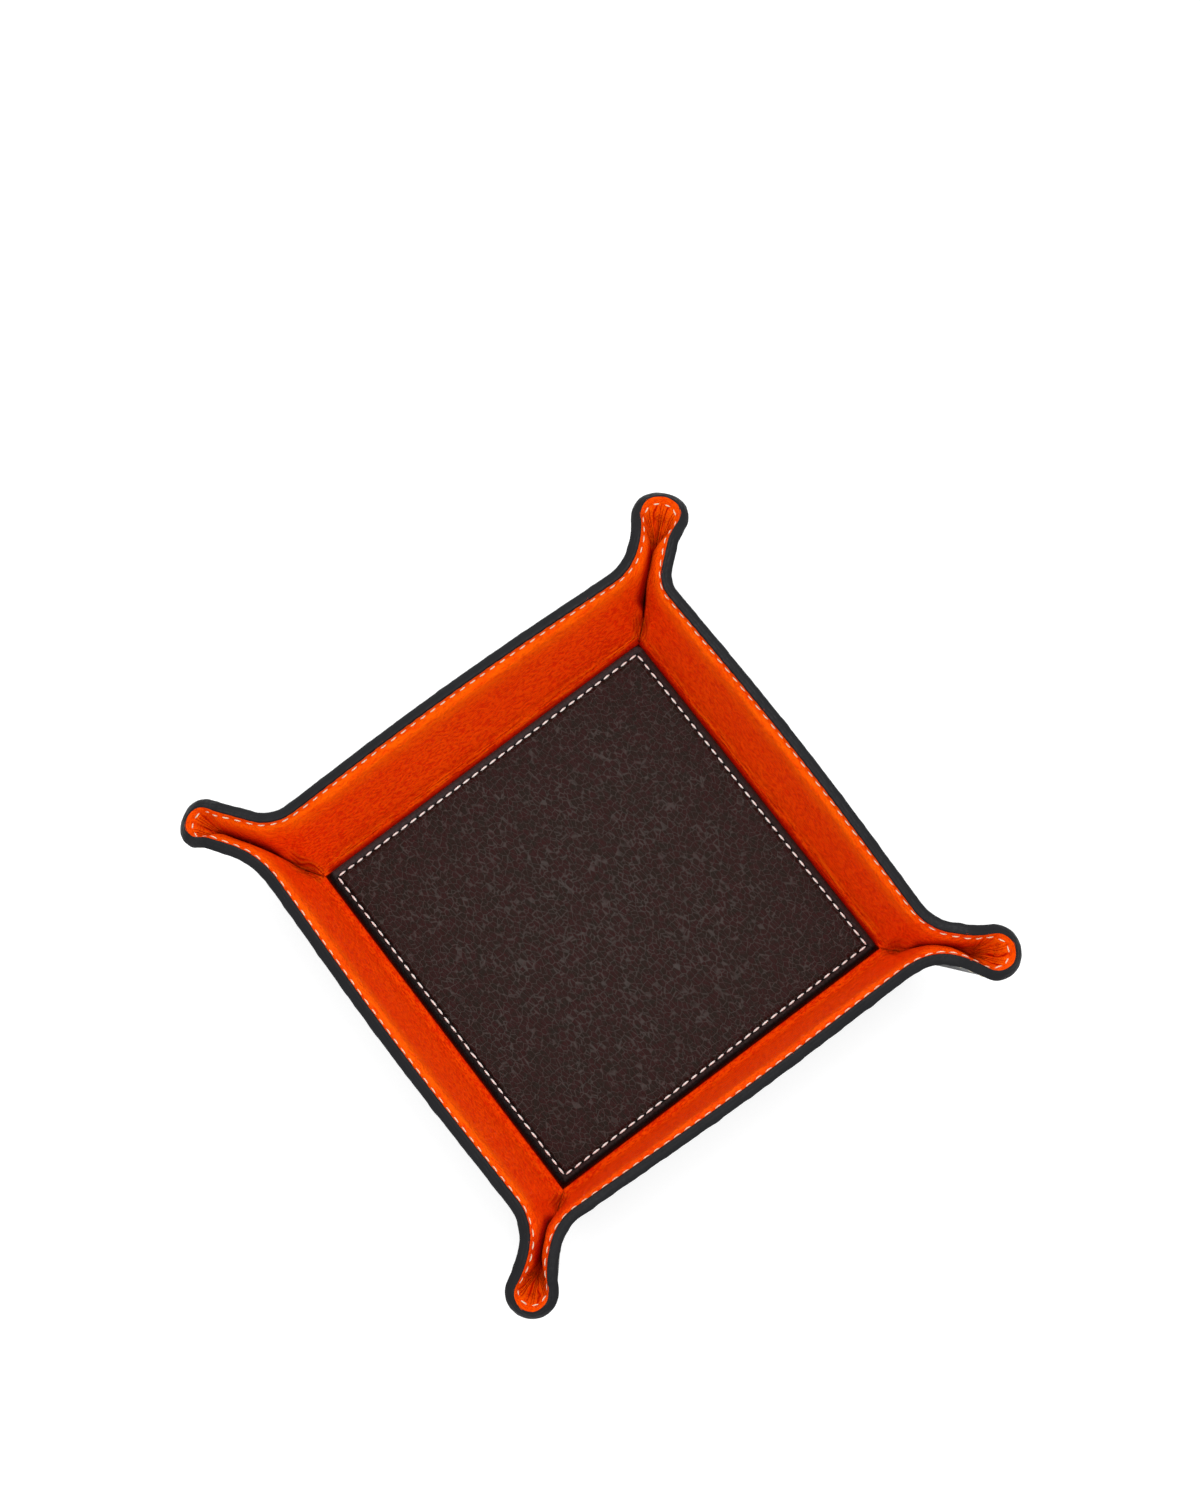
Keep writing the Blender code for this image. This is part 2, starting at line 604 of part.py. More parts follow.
def corner_tack(name, surface, tip_column, material):
    # A short bar of thread across the pinch, low in the fold, with its ends on the lining
    size = len(surface.length)
    keel = surface.loop["keel"]
    steps = np.arange(HALF_STEPS * FINE)
    sides = []
    for direction in (-1, 1):
        columns = (tip_column + direction * steps) % size
        nearest = columns[np.argmin(np.abs(keel[columns] - TACK_DISTANCE))]
        share = TACK_DEPTH / surface.length[nearest]
        sides.append(surface.points(share)[nearest])
    left, right = sides
    along = unit(right - left)
    start = left + along * TACK_SEAT_GAP
    end = right - along * TACK_SEAT_GAP
    across = unit(np.cross(along, np.array([0.0, 0.0, 1.0])))
    above = np.cross(across, along)
    points = []
    for place in (start, end):
        for index in range(TACK_SIDES):
            angle = 2 * math.pi * index / TACK_SIDES
            radial = math.cos(angle) * across + math.sin(angle) * above
            points.append(place + radial * TACK_DIAMETER / 2)
    faces = sheet_faces(2, TACK_SIDES, 0, True)
    faces += [tuple(range(TACK_SIDES)), tuple(range(TACK_SIDES, 2 * TACK_SIDES))]
    return new_piece(name, points, faces, material)


def build():
    for old in list(bpy.data.objects):
        bpy.data.objects.remove(old)
    black = new_material("black_leather", (0.018, 0.018, 0.020), 0.5)
    orange = new_material("orange_leather", (0.64, 0.045, 0.004), 0.45)
    brown = new_material("brown_leather", (0.042, 0.026, 0.022), 0.5)
    card = new_material("grey_board", (0.30, 0.29, 0.27), 0.8)
    foam = new_material("dark_core", (0.10, 0.10, 0.10), 0.8)
    thread = new_material("cream_thread", (0.80, 0.72, 0.62), 0.6)
    hidden_thread = new_material("orange_thread", (0.55, 0.05, 0.005), 0.6)

    surface = Surface(whole_loop())
    half_size = HALF_STEPS * FINE
    leather("outer_shell", surface, OUTER_NEAR, OUTER_FAR, 1, black)
    leather("lining", surface, 0.0, LINING_THICKNESS, -1, orange)
    base_board(card)
    for wall in range(4):
        wall_stiffener(f"wall_stiffener_{wall + 1}", surface, wall * 2 * half_size, card)
    pad_cover(brown)
    pad_core(foam)
    pad_stitching(thread)
    rim_stitching("rim_stitching_inside", surface, 0.0, -1, thread)
    rim_stitching("rim_stitching_outside", surface, OUTER_FAR, 1, thread)
    for ear in range(4):
        corner_tack(f"corner_tack_{ear + 1}", surface, (2 * ear + 1) * half_size, hidden_thread)


build()
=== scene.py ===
import json
import math
from functools import partial
from types import SimpleNamespace

import bpy
import numpy as np
from mathutils import Matrix, Vector

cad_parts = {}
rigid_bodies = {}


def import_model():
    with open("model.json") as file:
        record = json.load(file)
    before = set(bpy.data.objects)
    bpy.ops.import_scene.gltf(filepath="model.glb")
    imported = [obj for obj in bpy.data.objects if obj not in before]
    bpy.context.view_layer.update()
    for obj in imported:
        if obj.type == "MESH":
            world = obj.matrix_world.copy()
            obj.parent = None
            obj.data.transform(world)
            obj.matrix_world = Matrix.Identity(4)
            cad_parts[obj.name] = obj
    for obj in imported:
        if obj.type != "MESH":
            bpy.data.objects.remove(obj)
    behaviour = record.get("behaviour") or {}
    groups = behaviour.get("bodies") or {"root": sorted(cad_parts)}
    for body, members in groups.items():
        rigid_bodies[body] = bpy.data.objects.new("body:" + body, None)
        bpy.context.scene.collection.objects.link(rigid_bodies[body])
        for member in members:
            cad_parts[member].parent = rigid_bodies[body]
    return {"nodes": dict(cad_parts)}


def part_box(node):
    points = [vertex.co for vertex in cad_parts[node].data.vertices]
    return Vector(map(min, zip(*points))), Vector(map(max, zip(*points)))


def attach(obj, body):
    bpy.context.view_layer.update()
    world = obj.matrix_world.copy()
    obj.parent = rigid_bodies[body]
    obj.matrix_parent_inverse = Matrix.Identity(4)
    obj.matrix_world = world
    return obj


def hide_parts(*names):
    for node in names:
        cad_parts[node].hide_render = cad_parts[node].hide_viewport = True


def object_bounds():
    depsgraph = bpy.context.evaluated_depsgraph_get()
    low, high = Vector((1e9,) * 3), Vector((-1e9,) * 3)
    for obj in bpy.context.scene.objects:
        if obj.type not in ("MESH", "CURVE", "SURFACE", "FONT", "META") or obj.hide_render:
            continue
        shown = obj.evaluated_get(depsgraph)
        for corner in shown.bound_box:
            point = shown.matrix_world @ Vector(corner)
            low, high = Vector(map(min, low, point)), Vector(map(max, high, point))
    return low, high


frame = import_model()
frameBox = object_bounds()
mm = 0.001
print("stage: frame loaded with", len(frame["nodes"]), "nodes")


# Short ways to add shader nodes: an input takes a number, a colour or another node's output
def setInputs(node, inputs):
    # inputs go by their names, with _ for a space, or by their numbers as i0, i1
    for label, value in inputs.items():
        numbered = label[0] == "i" and label[1:].isdigit()
        socket = node.inputs[int(label[1:]) if numbered else label.replace("_", " ")]
        if isinstance(value, bpy.types.NodeSocket):
            socket.id_data.links.new(value, socket)
        else:
            socket.default_value = (*value, 1.0) if socket.type == "RGBA" else value


def addNode(tree, kind, settings=None, **inputs):
    node = tree.nodes.new("ShaderNode" + kind)
    for key, value in (settings or {}).items():
        setattr(node, key, value)
    setInputs(node, inputs)
    return node


def mathNode(operation, *values):
    # joins the values two at a time
    result = values[0]
    for value in values[1:]:
        tree = (result if isinstance(result, bpy.types.NodeSocket) else value).id_data
        result = addNode(tree, "Math", {"operation": operation}, i0=result, i1=value).outputs[0]
    return result


plus, minus, times, most = (partial(mathNode, kind) for kind in ("ADD", "SUBTRACT", "MULTIPLY", "MAXIMUM"))


def ramp(value, low, high, toLow=0.0, toHigh=1.0):
    ends = {"From_Min": low, "From_Max": high, "To_Min": toLow, "To_Max": toHigh}
    settings = {"interpolation_type": "SMOOTHSTEP"}
    return addNode(value.id_data, "MapRange", settings, Value=value, **ends).outputs[0]


def blend(factor, first, second):
    return addNode(factor.id_data, "Mix", {"data_type": "RGBA"}, i0=factor, i6=first, i7=second).outputs[2]


def split(vector):
    return addNode(vector.id_data, "SeparateXYZ", Vector=vector).outputs


def scaled(vector, stretch):
    return addNode(vector.id_data, "Mapping", Vector=vector, Scale=stretch).outputs[0]


def noise(vector, scale, detail=2.0, stretch=None, **more):
    moved = scaled(vector, stretch) if stretch else vector
    return addNode(moved.id_data, "TexNoise", Vector=moved, Scale=scale, Detail=detail, **more).outputs[0]


def newMaterial(name, **inputs):
    material = bpy.data.materials.new(name)
    material.use_nodes = True
    setInputs(material.node_tree.nodes["Principled BSDF"], inputs)
    return material


def objectPlace(material):
    return addNode(material.node_tree, "TexCoord").outputs["Object"]


def dress(material, colour, height, relief, **more):
    # joins the finished colour and relief to the surface
    tree = material.node_tree
    bump = addNode(tree, "Bump", Height=height, Distance=relief, Strength=1.0).outputs[0]
    setInputs(tree.nodes["Principled BSDF"], {"Base_Color": colour, "Normal": bump, **more})
    return material


# Camera, at the photograph's viewing angle
photoCamera = {
    "target": (-43.5 * mm, 32.5 * mm, 7.9 * mm),  # what the middle of the picture looks at
    "distance": 1329.4 * mm,
    "azimuthDeg": 59.09,
    "tiltDeg": 12.92,  # from straight down
    "rollDeg": -6.45,
    "lens": 96.0,
    "sensor": 36.0,
}


def addCamera():
    turns = ((photoCamera["azimuthDeg"], "Z"), (photoCamera["tiltDeg"], "X"), (photoCamera["rollDeg"], "Z"))
    place = Matrix.Translation(photoCamera["target"])
    for angle, axis in turns:
        place = place @ Matrix.Rotation(math.radians(angle), 4, axis)
    data = bpy.data.cameras.new("photoCamera")
    data.lens = photoCamera["lens"]
    data.sensor_width = photoCamera["sensor"]
    camera = bpy.data.objects.new("photoCamera", data)
    camera.matrix_world = place @ Matrix.Translation((0.0, 0.0, photoCamera["distance"]))
    bpy.context.scene.collection.objects.link(camera)
    bpy.context.scene.camera = camera


# Studio: a white floor, a white world and soft lamps
studio = {
    "floorSize": 6.0,
    "floorGap": 0.02 * mm,
    "floor": {"Base_Color": (0.58, 0.58, 0.58), "Roughness": 0.9, "Specular_IOR_Level": 0.0},
    "floorGlow": 0.60,  # added where the floor is seen, so that it is white and its shadow stays
    "worldLight": 1.0,
    "lamps": (
        # name, place, size, power
        ("keySoftbox", (-0.45, 0.50, 1.40), 0.7, 6.0),
        ("frontSoftbox", (0.42, -0.30, 1.55), 0.4, 3.2),
    ),
}


def addLamps():
    for name, place, size, power in studio["lamps"]:
        data = bpy.data.lights.new(name, "AREA")
        data.shape = "SQUARE"
        data.size = size
        data.energy = power
        lamp = bpy.data.objects.new(name, data)
        lamp.location = place
        lamp.rotation_euler = (-Vector(place)).to_track_quat("-Z", "Y").to_euler()
        bpy.context.scene.collection.objects.link(lamp)


def clearSelection():
    for thing in bpy.context.view_layer.objects:
        thing.select_set(False)


def addFloor():
    clearSelection()
    below = frameBox[0].z - studio["floorGap"]
    bpy.ops.mesh.primitive_plane_add(size=studio["floorSize"], location=(0.0, 0.0, below))
    floor = bpy.context.object
    floor.name = "studioFloor"
    material = newMaterial("studioFloor", Emission_Color=(1.0, 1.0, 1.0), **studio["floor"])
    tree = material.node_tree
    light = addNode(tree, "LightPath").outputs
    seen = most(*(light[f"Is {kind} Ray"] for kind in ("Camera", "Glossy", "Transmission")))
    setInputs(tree.nodes["Principled BSDF"], {"Emission_Strength": times(seen, studio["floorGlow"])})
    floor.data.materials.append(material)


def addWorld():
    world = bpy.data.worlds.new("studioWorld")
    world.use_nodes = True
    bpy.context.scene.world = world
    light = {"Color": (1.0, 1.0, 1.0), "Strength": studio["worldLight"]}
    setInputs(world.node_tree.nodes["Background"], light)


# The leather's folded shape, the same as the solids': a square blank whose walls are folded up and whose
# corners are pinched into ears. Sections run from the fold line or the keel up to the rim.
tray = {
    "padHalf": 65.0 * mm,
    "foldMargin": 1.2 * mm,
    "foldRadius": 2.0 * mm,
    "outerThickness": 2.0 * mm,
    "liningThickness": 1.1 * mm,
    "boardThickness": 1.2 * mm,
    "stiffenerThickness": 0.8 * mm,
    "glueGap": 0.3 * mm,
    "wallRun": 12.55 * mm,
    "wallBow": 1.4 * mm,
    "bowFade": 10.8 * mm,
    "rimHeight": 35.2 * mm,
    "neckRimHeight": 33.8 * mm,
    "bowlRimHeight": 30.4 * mm,
    "tipRimHeight": 28.5 * mm,
    "earReach": 36.6 * mm,
    "neckHalfWidth": 4.1 * mm,
    "shoulderRadius": 19.5 * mm,
    "neckRadius": 33.0 * mm,
    "bowlRadius": 5.8 * mm,
    "keelRadius": 0.6 * mm,
    "keelStart": 6.0 * mm,
    "keelTurnLength": 10.0 * mm,
    "keelEndSetback": 1.0 * mm,
    "bowlFloorRadius": 4.0 * mm,
    "neckPinch": 0.22,
    "keelEasePower": 1.7,
    "evenLength": 5.0 * mm,
    "foldLimit": 0.9,
    "normalStep": 0.004,
    "bowlRimShare": 0.35,
    "fanStartShare": 0.16,
    "rimDropStartShare": 0.4,
    "boardFadeShare": 0.11,
    "stiffenerShares": (0.11, 0.17, 0.86, 0.93),
    "stiffenerEndShare": 0.25,
    # walls in the order +Y, +X, -Y, -X, ears in the order of earSides, as bent by hand
    "earSides": ((-1, 1), (1, 1), (1, -1), (-1, -1)),
    "rimLean": (-0.056, -0.066),
    "rimTwistDeg": -0.6,
    "wallLean": (-0.036, -0.053, 0.030, 0.096),
    "wallSkew": (0.016, 0.061, -0.033, -0.028),
    "earTurnDeg": (-3.8, -0.2, -2.3, -8.4),
    "earReachMore": (-0.014, 0.008, -0.011, 0.026),
    "neckWidthMore": (0.144, -0.122, -0.195, 0.154),
    "bowlRadiusMore": (0.114, 0.036, -0.074, -0.134),
    "shoulderRadii": ((0.61, 1.10), (0.97, 1.13), (1.03, 1.01), (1.65, 0.82)),
    "neckRadii": ((0.70, 1.04), (0.70, 1.21), (0.99, 1.10), (1.02, 1.04)),
    # columns of the mesh in half a corner: wall, shoulder, neck, lead into the bowl, bowl
    "columnSteps": (92, 36, 28, 8, 44),
    "arcPoints": 96,
    # hand stitching round the rim, which pulls the leather down less between its holes
    "seamInset": 2.3 * mm,
    "bowlSeamInset": 2.9 * mm,
    "rimStitchPitch": 4.0 * mm,
    "holeShare": 0.3,
    "edgeRoundRun": 0.35 * mm,
    # how the two sides of an ear are squeezed together, and which side carries painted shade beside the
    # crease
    "squeeze": 2.4 * mm,
    "squeezeShares": (1.0, 0.85, 1.0, 0.45),
    "shadedSides": (1, 0, 0, 1),
    "squeezeRound": 0.45 * mm,
    "contactGap": 0.03 * mm,
}
baseHalf = tray["padHalf"] + tray["foldMargin"]
boardSpread = (tray["boardThickness"] + tray["glueGap"]) / 2
stiffenerSpread = (tray["stiffenerThickness"] + tray["glueGap"]) / 2
outerNear = tray["liningThickness"] + tray["glueGap"]
outerFar = outerNear + tray["outerThickness"]
referenceZ = outerFar + boardSpread
liningTop = referenceZ + boardSpread
upward = np.array([0.0, 0.0, 1.0])
fullTurn = 2 * math.pi


def rising(value, start, end):
    # eases from 0 to 1 while the value goes from start to end
    t = np.clip((value - start) / (end - start), 0.0, 1.0)
    return t * t * (3.0 - 2.0 * t)


def unit(vectors):
    return vectors / np.linalg.norm(vectors, axis=-1, keepdims=True)


def dot(first, second):
    return np.sum(first * second, axis=1)


def heading(angle):
    return np.array([math.cos(angle), math.sin(angle)])


def arc(centre, radius, start, end):
    angles = np.linspace(start, end, tray["arcPoints"] + 1)[1:]
    return centre + radius * np.stack([np.cos(angles), np.sin(angles)], axis=1)


def alongLine(at, lengths, values):
    return np.stack([np.interp(at, lengths, values[:, axis]) for axis in range(3)], axis=1)


def runLengths(line):
    return np.r_[0.0, np.cumsum(np.linalg.norm(np.diff(line, axis=0), axis=1))]


def rimPlan(ear, side):
    # half of the rim: along the wall, round the shoulder into the neck, and round the bowl
    sx, sy = tray["earSides"][ear]
    if side == 0:
        wall, alongWall, mirrored = (0 if sy > 0 else 2), sx, 1
    else:
        wall, alongWall, mirrored = (1 if sx > 0 else 3), sy, -1
    alongAngle = math.pi / 4 + math.radians(tray["earTurnDeg"][ear]) * sx * sy * mirrored
    along = heading(alongAngle)
    across = np.array([-along[1], along[0]])
    corner = np.array([baseHalf, baseHalf])
    halfWidth = tray["neckHalfWidth"] * (1 + tray["neckWidthMore"][ear])
    shoulder = tray["shoulderRadius"] * tray["shoulderRadii"][ear][side]
    neck = tray["neckRadius"] * tray["neckRadii"][ear][side]
    bowl = tray["bowlRadius"] * (1 + tray["bowlRadiusMore"][ear])
    reach = tray["earReach"] * (1 + tray["earReachMore"][ear])
    wallLine = baseHalf + tray["wallRun"] * (1 + tray["wallLean"][wall])

    climb = (wallLine + shoulder - corner[1] - across[1] * (halfWidth + shoulder)) / along[1]
    shoulderCentre = corner + across * (halfWidth + shoulder) + climb * along
    neckBack = math.sqrt((neck + bowl) ** 2 - (halfWidth + neck) ** 2)
    neckCentre = corner + across * (halfWidth + neck) + (reach - neckBack) * along
    bowlCentre = corner + reach * along
    toBowl = bowlCentre - neckCentre
    bowlStart = math.atan2(-toBowl[1], -toBowl[0]) % fullTurn
    count = tray["arcPoints"]
    points = np.vstack([
        np.linspace([0.0, wallLine], [shoulderCentre[0], wallLine], count + 1),
        arc(shoulderCentre, shoulder, -math.pi / 2, alongAngle - math.pi / 2),
        (neckCentre - across * neck)[None],
        arc(neckCentre, neck, alongAngle - math.pi / 2, math.atan2(toBowl[1], toBowl[0])),
        arc(bowlCentre, bowl, bowlStart, alongAngle),
    ])
    lengths = runLengths(points)
    shoulderAt, neckAt, bowlAt = lengths[count], lengths[2 * count + 1], lengths[3 * count + 1]
    cornerAt = np.interp(baseHalf, points[:2 * count, 0], lengths[:2 * count])

    # the long walls bow outward a little, and lean a little more at one end
    bow = np.clip(1.0 - (points[:, 0] / (baseHalf + tray["bowFade"])) ** 2, 0.0, 1.0) ** 2
    skew = tray["wallRun"] * tray["wallSkew"][wall] * alongWall * (1.0 - rising(lengths, shoulderAt, neckAt))
    points[:, 1] += tray["wallBow"] * bow + skew * np.minimum(points[:, 0] / baseHalf, 1.0)

    end = lengths[-1]
    fanAt = bowlAt + tray["fanStartShare"] * (end - bowlAt)
    lowAt = bowlAt + tray["bowlRimShare"] * (end - bowlAt)
    rim, neckRim, bowlRim = tray["rimHeight"], tray["neckRimHeight"], tray["bowlRimHeight"]
    height = rim + (neckRim - rim) * rising(lengths, tray["rimDropStartShare"] * shoulderAt, neckAt)
    height += (bowlRim - neckRim) * rising(lengths, neckAt, lowAt)
    height += (tray["tipRimHeight"] - bowlRim) * rising(lengths, lowAt, end)
    stops = (0.0, cornerAt, neckAt, bowlAt, fanAt, end)
    return np.c_[points, liningTop + height], lengths, stops, np.r_[bowlCentre, 0.0]


def toWorld(points, ear, side):
    sx, sy = tray["earSides"][ear]
    ordered = points if side == 0 else points[..., [1, 0, 2]]
    return ordered * np.array([sx, sy, 1.0])


def leanRim(points):
    # the rim as a whole stands a little off the floor's middle and is turned a little
    twist = math.radians(tray["rimTwistDeg"])
    turned = np.array(points)
    turned[:, 0] = points[:, 0] * math.cos(twist) - points[:, 1] * math.sin(twist)
    turned[:, 1] = points[:, 0] * math.sin(twist) + points[:, 1] * math.cos(twist)
    return turned + tray["wallRun"] * np.array([*tray["rimLean"], 0.0])


def keelHeight(distance, slope):
    start = tray["keelStart"]
    t = np.clip(distance / start, 0.0, 1.0)
    return slope * np.where(distance < start, start * (t ** 3 - t ** 4 / 2), distance - start / 2)


def sectionPlaces(stops):
    places = [np.zeros(1)]
    for start, end, count in zip(stops[:-1], stops[1:], tray["columnSteps"]):
        places.append(np.linspace(start, end, count + 1)[1:])
    return np.concatenate(places)


def keelShares(ear):
    shares = []
    for side in (0, 1):
        stops = rimPlan(ear, side)[2]
        shares.append(np.clip((sectionPlaces(stops) - stops[1]) / (stops[4] - stops[1]), 0.0, 1.0))
    return ((shares[0] + shares[1]) / 2) ** tray["keelEasePower"]


def halfCorner(ear, side):
    # sections of half a corner, from the middle of a wall to the ear's tip
    rim, lengths, stops, bowlCentre = rimPlan(ear, side)
    at = sectionPlaces(stops)
    local = alongLine(at, lengths, rim)
    tip = leanRim(toWorld(rim[-1:], ear, side))[0]
    centre = leanRim(toWorld(bowlCentre[None], ear, side))[0]
    corner = toWorld(np.array([[baseHalf, baseHalf, referenceZ]]), ear, side)[0]
    run = np.append((centre - corner)[:2], 0.0)
    keelAlong = unit(run)
    slope = (tip[2] - referenceZ) / (np.linalg.norm((tip - corner)[:2]) - tray["keelStart"] / 2)
    cornerAt, neckAt, fanAt = stops[1], stops[2], stops[4]
    distance = (np.linalg.norm(run) - tray["keelEndSetback"]) * keelShares(ear)
    onKeel = at > cornerAt
    count = len(at)
    foldLine = np.stack([local[:, 0], np.full(count, baseHalf), np.full(count, referenceZ)], axis=1)
    keelRoot = corner + distance[:, None] * keelAlong
    keelRoot[:, 2] += keelHeight(distance, slope)

    # each section leaves its root level and square to the fold or the keel, and fans out in the bowl
    wallOut = toWorld(np.array([[0.0, 1.0, 0.0]]), ear, side)[0]
    keelSide = np.array([-keelAlong[1], keelAlong[0], 0.0])
    keelSide = keelSide * np.sign(keelSide @ wallOut)
    grade = slope * rising(distance, 0.0, tray["keelStart"])
    keelUp = unit(keelAlong + grade[:, None] * upward)
    turned = rising(distance, 0.0, tray["keelTurnLength"])
    sideways = unit((1 - turned[:, None]) * wallOut + turned[:, None] * keelSide)
    fan = math.pi / 2 * np.clip((at - fanAt) / (lengths[-1] - fanAt), 0.0, 1.0)[:, None]
    level = np.linalg.norm(keelUp[:, :2], axis=1)
    opened = rising(at, neckAt, fanAt)
    radius = tray["foldRadius"] + (tray["keelRadius"] - tray["foldRadius"]) * turned
    return {
        "rim": leanRim(toWorld(local, ear, side)),
        "root": np.where(onKeel[:, None], keelRoot, toWorld(foldLine, ear, side)),
        "leave": np.cos(fan) * sideways + np.sin(fan) * keelUp,
        "normal": keelUp[:, 2:3] * keelAlong - level[:, None] * upward,
        "radius": radius + (tray["bowlFloorRadius"] - tray["keelRadius"]) * opened,
        "squeeze": turned * (1 - opened),
        "shaded": np.full(count, float(side == tray["shadedSides"][ear])),
        "straight": np.clip((baseHalf - local[:, 0]) / baseHalf, 0.0, 1.0) * ~onKeel,
        "keel": distance * onKeel,
        "corner": np.tile(corner, (count, 1)),
        "keelAlong": np.tile(keelAlong, (count, 1)),
        "bowl": opened,
        "bowlCentreAt": np.full(count, np.linalg.norm(run)),
        "ear": np.full(count, ear),
    }


def makeBlank():
    # the sections all the way round: ear, side, and which way the columns of each half corner run
    order = ((1, 1, 1), (1, 0, -1), (0, 0, 1), (0, 1, -1), (3, 1, 1), (3, 0, -1), (2, 0, 1), (2, 1, -1))
    parts = []
    for ear, side, direction in order:
        parts.append({key: values[::direction][:-1] for key, values in halfCorner(ear, side).items()})
    blank = SimpleNamespace(**{key: np.concatenate([part[key] for part in parts]) for key in parts[0]})
    reach = blank.rim - blank.root
    blank.out = dot(reach, blank.leave)
    rise = reach - blank.out[:, None] * blank.leave
    blank.up = np.linalg.norm(rise, axis=1)
    blank.rise = rise / blank.up[:, None]
    span = np.hypot(blank.out, blank.up - blank.radius)
    blank.bendRadius = np.minimum(blank.radius, tray["foldLimit"] * span)
    overBend = blank.up - blank.bendRadius
    span = np.hypot(blank.out, overBend)
    blank.bend = np.maximum(np.arctan2(overBend, blank.out) + np.arcsin(blank.bendRadius / span), 0.0)
    blank.curved = blank.bendRadius * blank.bend
    blank.length = blank.curved + np.sqrt(span ** 2 - blank.bendRadius ** 2)
    blank.seamInset = tray["seamInset"] + (tray["bowlSeamInset"] - tray["seamInset"]) * blank.bowl
    blank.seamShare = 1 - blank.seamInset / blank.length
    lengths = runLengths(np.vstack([blank.rim, blank.rim[:1]]))
    blank.around = lengths[-1]
    blank.turn = lengths[:-1] / blank.around
    return blank


def someColumns(blank, step):
    columns = {key: values[::step] for key, values in vars(blank).items() if np.ndim(values)}
    return SimpleNamespace(around=blank.around, **columns)


def perEar(blank, values):
    return np.asarray(values)[blank.ear]


def evened(places, values):
    # the mean of the values within half of evenLength either way along the closed line
    count = len(places)
    steps = np.linalg.norm(np.roll(places, -1, axis=0) - places, axis=1)
    middles = (values + np.roll(values, -1, axis=0)) / 2
    at = np.r_[0.0, np.cumsum(np.tile(steps, 3))]
    sums = np.vstack([np.zeros(3), np.cumsum(np.tile(middles * steps[:, None], (3, 1)), axis=0)])
    here = at[count:2 * count]
    half = tray["evenLength"] / 2
    return (alongLine(here + half, at, sums) - alongLine(here - half, at, sums)) / tray["evenLength"]


def sectionPoints(blank, share, squeezed=False):
    # points a share of the way up each section, which bends at its root and then runs straight
    travelled = share * blank.length
    angle = np.minimum(travelled, blank.curved) / blank.bendRadius
    beyond = np.maximum(travelled - blank.curved, 0.0)
    across = blank.bendRadius * np.sin(angle) + beyond * np.cos(blank.bend)
    above = blank.bendRadius * (1 - np.cos(angle)) + beyond * np.sin(blank.bend)
    midway = 4 * share * (1 - share)
    across = across - blank.out * tray["neckPinch"] * blank.squeeze * midway
    if squeezed:
        # the two sides of an ear are pressed together low down and roll apart above
        soft = tray["squeezeRound"]
        pressed = across - tray["squeeze"] * perEar(blank, tray["squeezeShares"]) * midway
        pressed = soft * np.logaddexp(0.0, pressed / soft) + tray["contactGap"]
        across = across + (np.minimum(pressed, across) - across) * blank.squeeze
    return blank.root + across[:, None] * blank.leave + above[:, None] * blank.rise


def sectionNormals(blank, share):
    # outward unit normals, away from the tray's inside
    here = sectionPoints(blank, share)
    if np.all(share == 0):
        return unit(evened(here, blank.normal))
    along = np.roll(here, -1, axis=0) - np.roll(here, 1, axis=0)
    above = sectionPoints(blank, np.minimum(share + tray["normalStep"], 1.0))
    below = sectionPoints(blank, share - tray["normalStep"])
    return unit(evened(here, evened(here, unit(np.cross(along, above - below)))))


def spreadAt(blank, share):
    # half of what lies between the two leathers: the board on the floor, a stiffener in each wall
    fade = 1 - rising(blank.keel, 0.0, tray["keelStart"])
    board = boardSpread * np.clip(1 - share / tray["boardFadeShare"], 0.0, 1.0) * fade
    stiffener = np.interp(share, tray["stiffenerShares"], (0.0, 1.0, 1.0, 0.0))
    stiffener = stiffener * np.clip(blank.straight / tray["stiffenerEndShare"], 0.0, 1.0)
    return board + stiffenerSpread * stiffener


def layerRow(blank, share, offset, spreadSign, squeezed=False):
    distance = offset + spreadSign * spreadAt(blank, share)
    return sectionPoints(blank, share, squeezed) + distance[:, None] * sectionNormals(blank, share)


def wander(turn, count, seed):
    # an irregular line between about -1 and 1 that closes on itself after one turn round the tray
    picker = np.random.default_rng(seed)
    total = np.zeros_like(turn)
    for part in (0.5, 0.8, 1.0, 1.35, 1.9):
        waves = max(1, int(round(count * part * (0.9 + 0.2 * picker.random()))))
        total += np.sin(fullTurn * (waves * turn + picker.random())) / math.sqrt(part)
    return total / 3


def rimSeamLine(points):
    # places along a closed seam line, and how many stitches it takes
    closed = np.vstack([points, points[:1]])
    lengths = runLengths(closed)
    return closed, lengths, int(round(lengths[-1] / tray["rimStitchPitch"]))


def stitchPhase(blank, offset):
    # 0 at each needle hole along the seam, a full turn at the next
    lengths, count = rimSeamLine(layerRow(blank, blank.seamShare, offset, 0))[1:]
    return fullTurn * count * lengths[:-1] / lengths[-1]


def needleGroove(blank, fromRim, width, phase):
    # the seam pulls the leather down, most at the needle holes
    groove = np.exp(-((fromRim - blank.seamInset) / width) ** 2)
    return groove * (1 - tray["holeShare"] * (1 - np.cos(phase)))


